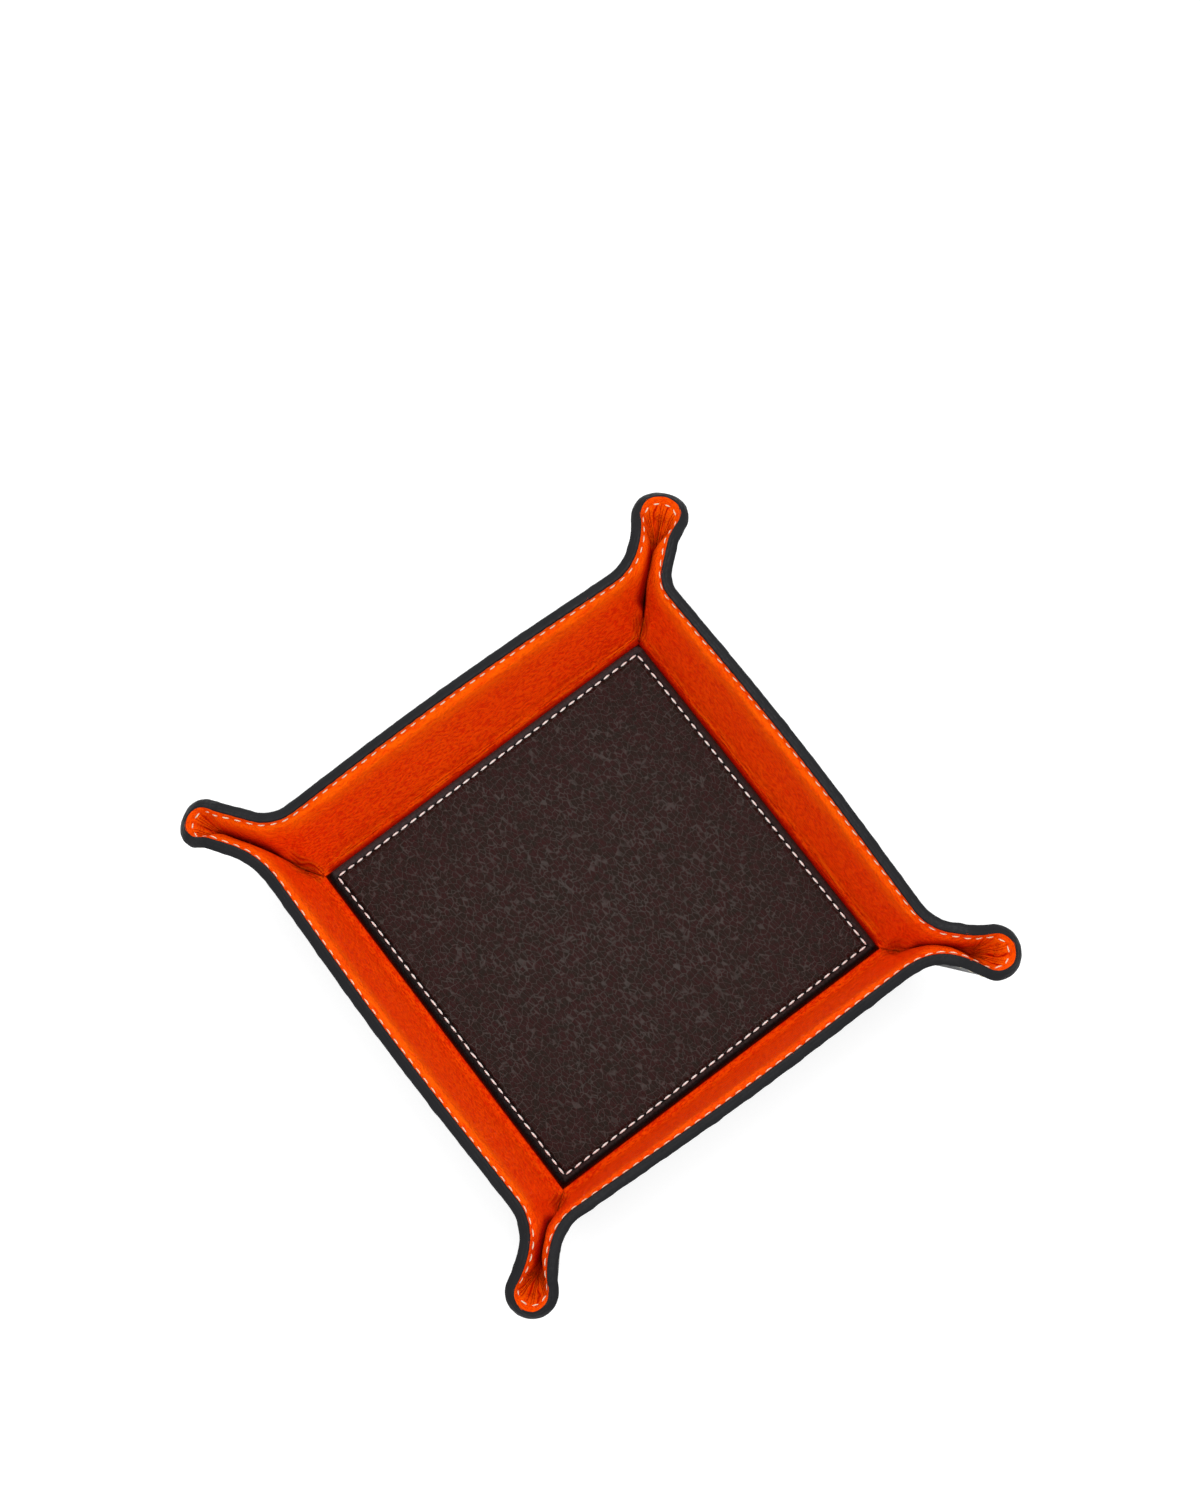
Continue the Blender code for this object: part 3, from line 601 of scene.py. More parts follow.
# Meshes: a plain grid is laid through rows of points, and its open ends are filled
def gridPiece(name, rows, attributes=None, fill=True):
    rows = np.asarray(rows)
    rowCount, columnCount = rows.shape[:2]
    clearSelection()
    bpy.ops.mesh.primitive_grid_add(x_subdivisions=columnCount, y_subdivisions=rowCount - 1, size=1.0)
    piece = bpy.context.object
    piece.name = name
    piece.data.name = name
    closed = np.concatenate([rows, rows[:, :1]], axis=1)
    piece.data.vertices.foreach_set("co", closed.reshape(-1).astype(np.float32))
    for label, values in (attributes or {}).items():
        values = np.asarray(values)
        values = np.concatenate([values, values[:, :1]], axis=1)
        attribute = piece.data.attributes.new(label, "FLOAT_VECTOR", "POINT")
        attribute.data.foreach_set("vector", values.reshape(-1).astype(np.float32))
    piece.data.update()
    bpy.ops.object.mode_set(mode="EDIT")
    bpy.ops.mesh.select_all(action="SELECT")
    bpy.ops.mesh.remove_doubles(threshold=0.001 * mm)
    if fill:
        bpy.ops.mesh.select_all(action="SELECT")
        bpy.ops.mesh.fill_holes(sides=0)
    bpy.ops.mesh.select_all(action="SELECT")
    bpy.ops.mesh.normals_make_consistent(inside=False)
    bpy.ops.mesh.select_all(action="DESELECT")
    bpy.ops.object.mode_set(mode="OBJECT")
    return piece


def finishPiece(piece, material, slotName, *nodes):
    clearSelection()
    piece.select_set(True)
    bpy.context.view_layer.objects.active = piece
    bpy.ops.object.shade_smooth_by_angle(angle=math.radians(50.0))
    piece.data.materials.clear()
    piece.data.materials.append(material)
    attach(piece, "root")
    if nodes:
        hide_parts(*nodes)
    bpy.context.view_layer.update()
    spans = [round(span / mm, 1) for span in piece.dimensions]
    print("stage:", piece.name, "has", len(piece.data.polygons), "faces and spans", spans, "mm")


# Lining
lining = {
    "grooveWidth": 0.55 * mm,
    "grooveDepth": 0.20 * mm,
    "edgeRound": 0.18 * mm,
    # the leather puffs up below the seam, less where a section is short
    "puffRise": (2.3 * mm, 4.8 * mm),
    "puffFall": (4.8 * mm, 21.0 * mm),
    "puffHeight": 0.70 * mm,
    "puffWander": (0.25, 17, 3),  # how much, waves round the tray, seed
    "puffPinch": (0.18, 5.0 * mm),  # at the needle holes, and how far down
    "puffLeast": 0.2,
    "puffLengths": (18.0 * mm, 34.0 * mm),
    # wrinkles of each bowl, as rays from a point before its centre
    "raySetback": 9.0 * mm,
    "rayAngle": math.radians(7.6),
    "rayReach": math.radians(75.0),
    "rayDepth": 0.30 * mm,
    "rayShift": 0.37,  # from ear to ear
    "rayBunching": (0.4, 1.9, 2.1),
    "rayWaver": (0.22, 1.9 * mm, 3.0),
    "rayDepths": (0.62, 0.38, 2.3),
    "raySharpness": 0.75,
    "rayAtRim": 0.15,
    "rayFades": ((0.8 * mm, 4.3 * mm), (1.7 * mm, 3.9 * mm)),  # from the middle, and from the rim
    "rayLineFades": ((0.0, 3.0 * mm), (1.9 * mm, 4.3 * mm)),
    # crumples that climb from the pad's corner and fill the start of the crease
    "gatherSpacing": 1.1 * mm,
    "gatherHeights": (0.8 * mm, 0.4 * mm, 0.7 * mm, 1.2 * mm),
    "gatherStrengths": (0.8, 0.35, 0.65, 1.0),
    "gatherSides": (1.8 * mm, 3.4 * mm),
    "gatherStart": (-1.5 * mm, 0.5 * mm),
    "gatherPast": 2.0 * mm,
    "gatherWaver": (0.5, 1.5 * mm, 2.0),
    "gatherShift": 0.2,
    "crossWaver": (0.7, 0.9 * mm),
    "crossSpacing": 2.3 * mm,
    "crossShare": 0.25,
    "gatherSharpness": 0.8,
    "gatherBody": 1.5,
    "gatherFoot": 0.012,
    "strandShift": 0.1,
    # where the painted shade of each ear's crease starts and how wide it opens there, and its width further
    # out
    "creaseStarts": (6.2 * mm, 6.0 * mm, 6.0 * mm, 11.0 * mm),
    "creaseOpenings": (3.0 * mm, 5.0 * mm, 7.0 * mm, 3.5 * mm),
    "creaseMouths": (1.5 * mm, 0.6 * mm, 0.7 * mm, 0.6 * mm),
    "creaseHalves": ((17.0 * mm, 0.45 * mm), (29.0 * mm, 0.50 * mm), (35.0 * mm, 0.6 * mm)),
    # the shade on the upper side of each crease: how dark, and how far it reaches
    "lipShades": (0.80, 0.55, 0.90, 0.45),
    "lipReach": 4.0 * mm,
    "lipPower": 1.5,
    # painted shade is kept out of the bowls, and a painted highlight covers each bowl from a little above its
    # floor
    "bowlLight": 0.9,
    "bowlHighlightAmount": 0.5,
    "bowlHighlightRun": 3.0 * mm,
    "cornerShade": 0.20,
    "floorRing": (2.4 * mm, 1.6 * mm, 0.8 * mm),
    "floorShare": 0.98,
    "topRun": 6.3 * mm,
    "topRows": 22,
    "lowShares": ((0.0, 0.09, 8), (0.09, 0.24, 6), (0.24, 1.0, 13)),
    "backShares": (1.0, 0.9, 0.5, 0.17, 0.08, 0.0),
}


def valleys(strand, sharpness):
    # 1 along narrow creases at whole numbers, 0 on the rounded ridges between them
    return 1 - np.abs(np.sin(math.pi * strand)) ** sharpness


def earPlace(blank, points):
    # how far points lie out from the pad's corner along the keel, and to the left of it
    away = points - blank.corner
    along = blank.keelAlong
    return dot(away[:, :2], along[:, :2]), away[:, 1] * along[:, 0] - away[:, 0] * along[:, 1]


def rayPlace(blank, points):
    # which of the bowl's wrinkles a point lies on, and its distance and angle from where they meet
    ahead, beside = earPlace(blank, points)
    ahead = ahead - (blank.bowlCentreAt - lining["raySetback"])
    angle = np.arctan2(beside, ahead)
    distance = np.hypot(beside, ahead)
    strand = angle / lining["rayAngle"] + lining["rayShift"] * blank.ear
    bunching, rate, bunchShift = lining["rayBunching"]
    waver, run, waverShift = lining["rayWaver"]
    bunched = strand + bunching * np.sin(rate * strand + bunchShift * blank.ear)
    return bunched + waver * np.sin(distance / run + waverShift * blank.ear), distance, angle


def rayWindow(blank, distance, angle, fromRim, fades):
    # wrinkles fade towards where they meet, towards the rim, and to the sides
    reach, least = lining["rayReach"], lining["rayAtRim"]
    window = blank.bowl * rising(distance, *fades[0]) * (1 - rising(np.abs(angle), reach * 2 / 3, reach))
    return window * (least + (1 - least) * rising(fromRim, *fades[1]))


def gatherPlace(blank, points):
    # which crumple a point lies on, and how far it is inside them
    ahead, beside = earPlace(blank, points)
    waver, run, waverShift = lining["gatherWaver"]
    strand = beside / lining["gatherSpacing"] + waver * np.sin(ahead / run + waverShift * blank.ear)
    end = perEar(blank, lining["creaseStarts"]) + lining["gatherPast"]
    window = rising(ahead, *lining["gatherStart"]) * (1 - rising(ahead, end / 2, end))
    window = window * (1 - rising(np.abs(beside), *lining["gatherSides"]))
    return strand + lining["gatherShift"] * blank.ear, window


def gathers(blank, points, share):
    # how far the crumples stand up
    strand, window = gatherPlace(blank, points)
    ahead, beside = earPlace(blank, points)
    waver, run = lining["crossWaver"]
    crossing = ahead / lining["crossSpacing"] + waver * np.sin(beside / run + blank.ear)
    part = lining["crossShare"]
    sharpness = lining["gatherSharpness"]
    creased = (1 - part) * valleys(strand, sharpness) + part * valleys(crossing, sharpness)
    stand = (lining["gatherBody"] - creased) * window * rising(share, 0.0, lining["gatherFoot"])
    return perEar(blank, lining["gatherHeights"]) * stand


def liningRow(blank, share, phase):
    fromRim = (1 - share) * blank.length
    points = layerRow(blank, share, 0.0, -1, squeezed=True)
    least = lining["puffLeast"]
    puff = rising(fromRim, *lining["puffRise"]) * (1 - rising(fromRim, *lining["puffFall"]))
    puff = puff * (least + (1 - least) * rising(blank.length, *lining["puffLengths"]))
    amount, waves, seed = lining["puffWander"]
    pinch, run = lining["puffPinch"]
    varies = 1 + amount * wander(blank.turn, waves, seed)
    varies = varies - pinch * np.cos(phase) * np.exp(-(fromRim / run) ** 2)
    base, swing, rate = lining["rayDepths"]
    strand, distance, angle = rayPlace(blank, points)
    rays = valleys(strand, lining["raySharpness"]) * (base + swing * np.sin(rate * strand + blank.ear))
    rays = rays * rayWindow(blank, distance, angle, fromRim, lining["rayFades"])
    raised = lining["puffHeight"] * puff * varies - lining["rayDepth"] * rays
    raised = raised - lining["grooveDepth"] * needleGroove(blank, fromRim, lining["grooveWidth"], phase)
    raised = raised - lining["edgeRound"] * np.exp(-fromRim / tray["edgeRoundRun"])
    moved = points - raised[:, None] * sectionNormals(blank, share)
    return moved + gathers(blank, points, share)[:, None] * upward


def halfGap(blank, points):
    # half the distance from each point to the other side of its ear
    half = sum(tray["columnSteps"])
    index = np.arange(len(points))
    corner = index // (2 * half)
    partner = (corner * 2 * half + 2 * half - index % (2 * half)) % len(points)
    return dot(points - points[partner], blank.leave) / 2


def liningLook(blank, share):
    # what the material reads, the first of three: the place round the tray as a circle, and out from the fold
    radius = blank.around / fullTurn
    circle = fullTurn * blank.turn
    place = (radius * np.cos(circle), radius * np.sin(circle), share * blank.length)

    # which wrinkle or crumple, how far along it, and how strong it is
    share = np.maximum(share, 0.0)
    fromRim = (1 - share) * blank.length
    points = layerRow(blank, share, 0.0, -1, squeezed=True)
    ahead = earPlace(blank, points)[0]
    ray, distance, angle = rayPlace(blank, points)
    gather, window = gatherPlace(blank, points)
    fan = rayWindow(blank, distance, angle, fromRim, lining["rayLineFades"])
    gathered = (gather, ahead, window * perEar(blank, lining["gatherStrengths"]))
    strand = [np.where(blank.bowl > 0, *pair) for pair in zip((ray, distance, fan), gathered)]
    strand[1] = strand[1] + lining["strandShift"] * blank.ear

    # the distance to the rim, the painted shade of the creases and corners, and the painted highlight of the
    # bowl
    across = np.maximum(halfGap(blank, points), 0.0)
    start, mouth, opening, lip = (perEar(blank, lining[name]) for name in
                                  ("creaseStarts", "creaseMouths", "creaseOpenings", "lipShades"))
    places, halves = zip(*lining["creaseHalves"])
    half = np.interp(ahead, places, halves)
    half = half + (mouth - half) * (1 - rising(ahead, start, places[0]))
    lip = lip * blank.shaded * (1 - rising(across, 0.0, lining["lipReach"])) ** lining["lipPower"]
    shut = np.maximum(1 - rising(across, 0.0, half), lip) * rising(ahead, start, start + opening)
    shut = shut * (1 - lining["bowlLight"] * blank.bowl) * (blank.keel > 0)
    paintedHighlight = lining["bowlHighlightAmount"] * blank.bowl * rising(share * blank.length, 0.0, lining["bowlHighlightRun"])
    shade = (fromRim, np.maximum(shut, lining["cornerShade"] * window), paintedHighlight)
    return [np.stack(values, axis=1) for values in (place, shade, strand)]


def floorRow(blank, width):
    # a row of the floor inside the fold lines, which closes to a point at each corner
    inward = lining["floorShare"] * np.minimum(width, blank.straight * baseHalf)
    return blank.root - inward[:, None] * blank.leave + boardSpread * upward


def addLining(blank, phase, material):
    length, topRun = blank.length, lining["topRun"]
    low = [np.linspace(start, end, count, endpoint=False) for start, end, count in lining["lowShares"]]
    shares = [part * (1 - topRun / length) for part in np.concatenate(low)]
    shares += [1 - topRun * left / length for left in np.linspace(1.0, 0.0, lining["topRows"])]
    rows = [floorRow(blank, width) for width in lining["floorRing"]]
    rows += [liningRow(blank, share, phase) for share in shares]
    rows += [layerRow(blank, share, tray["liningThickness"], -1) for share in lining["backShares"]]
    shares = [-width / length for width in lining["floorRing"]] + shares + list(lining["backShares"])
    looks = zip(*(liningLook(blank, share) for share in shares))
    attributes = dict(zip(("leatherPlace", "leatherShade", "leatherStrand"), looks))
    finishPiece(gridPiece("lining_leather", rows, attributes), material, "lining_leather", "lining")


# Outer leather
outer = {
    "columnStep": 2,
    "grooveWidth": 0.55 * mm,
    "grooveDepth": 0.22 * mm,
    "edgeRound": 0.25 * mm,
    "topRun": 6.0 * mm,
    "topRows": 15,
    "lowRows": 19,
    "lowPower": 1.15,
    "nearShares": (0.0, 0.08, 0.17, 0.5, 0.9, 1.0),
}


def outerRow(blank, share, phase):
    fromRim = (1 - share) * blank.length
    sunk = outer["grooveDepth"] * needleGroove(blank, fromRim, outer["grooveWidth"], phase)
    sunk = sunk + outer["edgeRound"] * np.exp(-fromRim / tray["edgeRoundRun"])
    return layerRow(blank, share, outerFar, 1) - sunk[:, None] * sectionNormals(blank, share)


def addOuter(blank, material):
    some = someColumns(blank, outer["columnStep"])
    phase = stitchPhase(some, outerFar)
    topShare = outer["topRun"] / some.length
    shares = [1 - down * topShare for down in np.linspace(0.0, 1.0, outer["topRows"])]
    lefts = np.linspace(1.0, 0.0, outer["lowRows"])[1:] ** outer["lowPower"]
    shares += [(1 - topShare) * left for left in lefts]
    rows = [layerRow(some, share, outerNear, 1) for share in outer["nearShares"]]
    rows += [outerRow(some, share, phase) for share in shares]
    finishPiece(gridPiece("outer_leather", rows), material, "outer_leather", "outer_shell")


# Painted edge over the cut ends of both leathers
edge = {
    "depth": 1.0 * mm,  # down the lining
    "bowlLess": 0.65,
    "tuck": 0.5 * mm,
    "lift": 0.28 * mm,
    "sideSteps": ((1.0, 0.0), (0.80, 0.7), (0.40, 1.0)),  # up the lining: shares of the depth and the lift
    "crownLift": 0.6,
    "crownPoints": 12,
    "crownPower": 2.6,
    "bulge": 0.30 * mm,
    "outerDepth": 0.55 * mm,
    "outerLift": 0.10 * mm,
    "outerSkin": 0.02 * mm,
    "seamDepth": 0.10 * mm,
    "seamShare": 0.36,
    "seamWidth": 0.05,
    "upShare": 0.98,
    # unevenness, and its waves round the tray with their seeds
    "roughness": 0.05 * mm,
    "outerRoughness": 0.15 * mm,
    "scallop": 0.14 * mm,
    "scallopWander": 0.6,
    "scallopWaves": (150, 8),
    "slowWaves": (90, 11),
    "outerWaves": (100, 31),
    "fineWaves": 240,
    "moreWaves": 11,  # from one row of the crown to the next
    "fineSeed": 20,
}


def addEdge(blank, phase, material):
    turn = blank.turn
    inner = liningRow(blank, 1.0, phase)
    outside = layerRow(blank, 1.0, outerFar, 1)
    up = unit(sectionPoints(blank, 1.0) - sectionPoints(blank, edge["upShare"]))
    across = unit(outside - inner)
    slim = 1 - edge["bowlLess"] * blank.bowl
    scallop = np.cos(phase) + edge["scallopWander"] * wander(turn, *edge["scallopWaves"])
    drop = edge["depth"] * slim + edge["scallop"] * scallop
    lift = across * (edge["lift"] * slim)[:, None]
    rows = [inner - up * (drop + edge["tuck"])[:, None] + across * edge["tuck"] / 2]
    for depthShare, liftShare in edge["sideSteps"]:
        rows.append(inner - up * (drop * depthShare)[:, None] - lift * liftShare)
    slow = wander(turn, *edge["slowWaves"])
    for step in range(edge["crownPoints"]):
        share = step / (edge["crownPoints"] - 1)
        crown = edge["bulge"] * (1 - abs(2 * share - 1) ** edge["crownPower"])
        seam = edge["seamDepth"] * math.exp(-((share - edge["seamShare"]) / edge["seamWidth"]) ** 2)
        fine = wander(turn, edge["fineWaves"] + edge["moreWaves"] * step, edge["fineSeed"] + step)
        lifted = (crown - seam + edge["roughness"] * (fine + slow))[:, None] * up
        rows.append(inner + (outside - inner) * share - lift * edge["crownLift"] * (1 - share) + lifted)
    rough = edge["outerLift"] + edge["outerRoughness"] * wander(turn, *edge["outerWaves"])
    rows.append(outside + across * rough[:, None] - up * edge["outerLift"] * 2)
    rows.append(outside - up * edge["outerDepth"] + across * edge["outerSkin"])
    rows.append(outside - up * 2 * edge["outerDepth"] - across * edge["outerLift"] * 2)
    rows.append(rows[0])
    finishPiece(gridPiece("rim_edge_paint", rows, fill=False), material, "outer_leather")


# Pad
padLow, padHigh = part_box("pad_cover")
pad = {
    "half": padHigh.x,
    "top": padHigh.z,
    "bottom": padLow.z,
    "cornerRadius": 2.3 * mm,
    "leastRadius": 0.5 * mm,
    "mostRadius": 0.9,  # of the half side
    "stitchInset": 2.8 * mm,
    "stitchPitch": 3.65 * mm,
    "grooveDepth": 0.55 * mm,
    # the groove's two banks, as distances from the edge
    "outerBank": (1.73 * mm, 2.63 * mm),
    "innerBank": (3.195 * mm, 4.245 * mm),
    "borderDrop": 0.14 * mm,
    "edgeDrop": 1.7 * mm,
    "edgeRun": 1.75 * mm,
    "footSwell": 0.05 * mm,
    "border": 3.9 * mm,
    "coverThickness": 1.2 * mm,
    "crown": 0.30 * mm,
    "crownPower": 4,
    "holeDepth": 0.22 * mm,
    "holeRadius": 0.45 * mm,
    "sideColumns": 300,
    "cornerColumns": 12,
    # rows from the edge inward, in mm
    "insets": (0.0, 0.12, 0.3, 0.55, 0.85, 1.2, 1.5, 1.75, 1.95, 2.1, 2.25, 2.4, 2.6, 2.8, 3.0, 3.2, 3.35,
               3.5, 3.65, 3.8, 4.0, 4.25, 4.6, 5.2, 6.5, 9.0, 13.0, 19.0, 27.0, 37.0, 48.0, 58.0, 64.5),
}
seamSide = pad["half"] - pad["stitchInset"]
sideStitches = int(round(2 * seamSide / pad["stitchPitch"]))


def roundedSquare(half, radius):
    # outline counted anticlockwise, with the same number of points at any size
    points = []
    straight = half - radius
    for quarter in range(4):
        start = quarter * math.pi / 2
        out = heading(start)
        left = np.array([-out[1], out[0]])
        for step in range(pad["sideColumns"]):
            points.append(out * half + left * straight * (2 * step / pad["sideColumns"] - 1))
        for step in range(pad["cornerColumns"]):
            turned = heading(start + math.pi / 2 * step / pad["cornerColumns"])
            points.append((out + left) * straight + radius * turned)
    return np.array(points)


def padHeight(inset):
    # height of the cover's top at a distance from its edge
    if inset < pad["stitchInset"]:
        t = min(inset / pad["edgeRun"], 1.0)
        rise = (pad["edgeDrop"] - pad["borderDrop"]) * math.sqrt(1 - (1 - t) ** 2)
        return pad["top"] - pad["edgeDrop"] + rise - pad["grooveDepth"] * rising(inset, *pad["outerBank"])
    crown = pad["crown"] * (1 - ((pad["half"] - inset) / pad["half"]) ** pad["crownPower"])
    return pad["top"] + crown - pad["grooveDepth"] * (1 - rising(inset, *pad["innerBank"]))


def addPad(material):
    rows = []
    recess = pad["half"] - pad["border"]
    foot = (pad["bottom"] + pad["top"] - pad["edgeDrop"]) / 2
    hidden = ((recess, pad["top"] - pad["coverThickness"]), (recess, pad["bottom"]),
              (pad["half"], pad["bottom"]), (pad["half"] + pad["footSwell"], foot))
    for half, height in hidden:
        outline = roundedSquare(half, max(pad["cornerRadius"] - pad["half"] + half, pad["leastRadius"]))
        rows.append(np.c_[outline, np.full(len(outline), height)])
    step = 2 * seamSide / sideStitches
    for inset in np.array(pad["insets"]) * mm:
        half = pad["half"] - inset
        radius = max(pad["cornerRadius"] - inset, pad["leastRadius"])
        outline = roundedSquare(half, min(radius, half * pad["mostRadius"]))
        least = np.abs(outline).min(axis=1)
        signed = np.where(np.abs(outline[:, 0]) < np.abs(outline[:, 1]), outline[:, 0], outline[:, 1])
        fromHole = np.abs((signed + seamSide + step / 2) % step - step / 2)
        fromSeam = inset - pad["stitchInset"]
        hole = np.exp(-(fromHole / pad["holeRadius"]) ** 2 - (fromSeam / pad["holeRadius"]) ** 2)
        hole = hole * (least < seamSide + step / 2)
        rows.append(np.c_[outline, padHeight(inset) - pad["holeDepth"] * hole])
    piece = gridPiece("pad_leather", rows)
    finishPiece(piece, material, "pad_leather", "pad_cover")


# Stitches
stitch = {
    "arch": 0.32 * mm,
    "belly": 0.35,
    "sink": 0.22,  # of the height, by which the middle stands higher
    # length, width, height
    "padSize": (2.9 * mm, 0.49 * mm, 0.40 * mm),
    "padSlantDeg": 3.0,
    "rimSize": (2.95 * mm, 0.38 * mm, 0.36 * mm),
    "rimSlantDeg": 4.0,
    "slantSpread": 0.5,
    "lengthSpread": 0.04,
    "sides": 6,
    "rings": 7,
    "alongStep": 0.4 * mm,
}


def oneStitch(size):
    # a short spindle of thread whose ends dive into the leather
    length, width, height = size
    clearSelection()
    bpy.ops.mesh.primitive_uv_sphere_add(segments=stitch["sides"], ring_count=stitch["rings"], radius=0.5)
    spindle = bpy.context.object
    bpy.ops.object.mode_set(mode="EDIT")
    bpy.ops.mesh.select_all(action="SELECT")
    bpy.ops.transform.rotate(value=math.pi / 2, orient_axis="Y", center_override=(0.0, 0.0, 0.0))
    bpy.ops.transform.resize(value=(length, width, height))
    bpy.ops.object.mode_set(mode="OBJECT")
    for vertex in spindle.data.vertices:
        share = 2 * vertex.co.x / length
        full = 1.0 + stitch["belly"] * (1 - share ** 2)
        vertex.co.y *= full
        vertex.co.z = vertex.co.z * full - stitch["arch"] * share ** 4 + height * stitch["sink"]
    return spindle


def addSeam(name, places, alongs, ups, size, slantDeg, material, node):
    spindle = oneStitch(size)
    copies = []
    picker = np.random.default_rng(len(places))
    for place, along, up in zip(places, alongs, ups):
        slant = math.radians(slantDeg * (1 + stitch["slantSpread"] * picker.standard_normal()))
        turnedAlong = along * math.cos(slant) + np.cross(up, along) * math.sin(slant)
        stretch = 1 + stitch["lengthSpread"] * picker.standard_normal()
        turned = Matrix((turnedAlong * stretch, np.cross(up, turnedAlong), up)).transposed().to_4x4()
        copy = spindle.copy()
        copy.data = spindle.data.copy()
        copy.data.transform(Matrix.Translation(Vector(place)) @ turned)
        bpy.context.scene.collection.objects.link(copy)
        copies.append(copy)
    bpy.data.objects.remove(spindle)
    clearSelection()
    for copy in copies:
        copy.select_set(True)
    bpy.context.view_layer.objects.active = copies[0]
    bpy.ops.object.join()
    piece = bpy.context.object
    piece.name = name
    piece.data.name = name
    finishPiece(piece, material, "thread", node)


def addPadSeam(material):
    height = padHeight(pad["stitchInset"])
    places, alongs = [], []
    for quarter in range(4):
        out = np.append(heading(quarter * math.pi / 2), 0.0)
        along = np.array([-out[1], out[0], 0.0])
        for index in range(sideStitches):
            offset = seamSide * ((2 * index + 1) / sideStitches - 1)
            places.append(out * seamSide + along * offset + height * upward)
            alongs.append(along)
    ups = [upward] * len(places)
    size, slant = stitch["padSize"], stitch["padSlantDeg"]
    addSeam("pad_stitches", places, alongs, ups, size, slant, material, "pad_stitching")


def addRimSeam(name, points, facing, material, node):
    closed, lengths, count = rimSeamLine(points)
    facing = np.vstack([facing, facing[:1]])
    at = lengths[-1] * (np.arange(count) + 0.5) / count
    step = stitch["alongStep"]
    alongs = unit(alongLine(at + step, lengths, closed) - alongLine(at - step, lengths, closed))
    ups = alongLine(at, lengths, facing)
    ups = unit(ups - dot(ups, alongs)[:, None] * alongs)
    places = alongLine(at, lengths, closed)
    addSeam(name, places, alongs, ups, stitch["rimSize"], stitch["rimSlantDeg"], material, node)


# Pebbled grain, shared by the leathers
grainShape = {
    "bendScale": 0.7,  # of the cells
    "evenness": 0.8,
    "smallScale": 2.3,
    "smallShare": 0.25,
}


def makeGrainGroup():
    # rounded cells between fine creases, with smaller cells inside them
    group = bpy.data.node_groups.new("leatherGrain", "ShaderNodeTree")
    group.interface.new_socket("Vector", in_out="INPUT", socket_type="NodeSocketVector")
    for label in ("Cells", "Wobble", "Crease"):
        group.interface.new_socket(label, in_out="INPUT", socket_type="NodeSocketFloat")
    for label in ("Height", "Line"):
        group.interface.new_socket(label, in_out="OUTPUT", socket_type="NodeSocketFloat")
    vector, cells, wobble, crease = list(group.nodes.new("NodeGroupInput").outputs)[:4]
    bend = addNode(group, "TexNoise", Vector=vector, Scale=times(cells, grainShape["bendScale"]), Detail=2.0)
    centred = addNode(group, "VectorMath", {"operation": "SUBTRACT"}, i0=bend.outputs[1], i1=(0.5, 0.5, 0.5))
    amount = mathNode("DIVIDE", wobble, cells)
    shift = addNode(group, "VectorMath", {"operation": "SCALE"}, i0=centred.outputs[0], Scale=amount)
    moved = addNode(group, "VectorMath", {"operation": "ADD"}, i0=vector, i1=shift.outputs[0]).outputs[0]
    heights = []
    for scale, randomness in ((cells, grainShape["evenness"]), (times(cells, grainShape["smallScale"]), 1.0)):
        settings = {"feature": "DISTANCE_TO_EDGE"}
        pebbles = addNode(group, "TexVoronoi", settings, Vector=moved, Scale=scale, Randomness=randomness)
        heights.append(ramp(pebbles.outputs["Distance"], 0.0, crease))
    large, small = heights
    part = grainShape["smallShare"]
    result = group.nodes.new("NodeGroupOutput")
    setInputs(result, {"Height": plus(times(large, 1 - part), times(small, part)), "Line": minus(1.0, large)})
    return group


def useGroup(group, vector, **inputs):
    return addNode(vector.id_data, "Group", {"node_tree": group}, Vector=vector, **inputs).outputs


def acrossPad(value, start, end, toLow=0.0, toHigh=1.0):
    # start and end are in mm outwards from the pad's edge
    return ramp(value, pad["half"] + start * mm, pad["half"] + end * mm, toLow, toHigh)


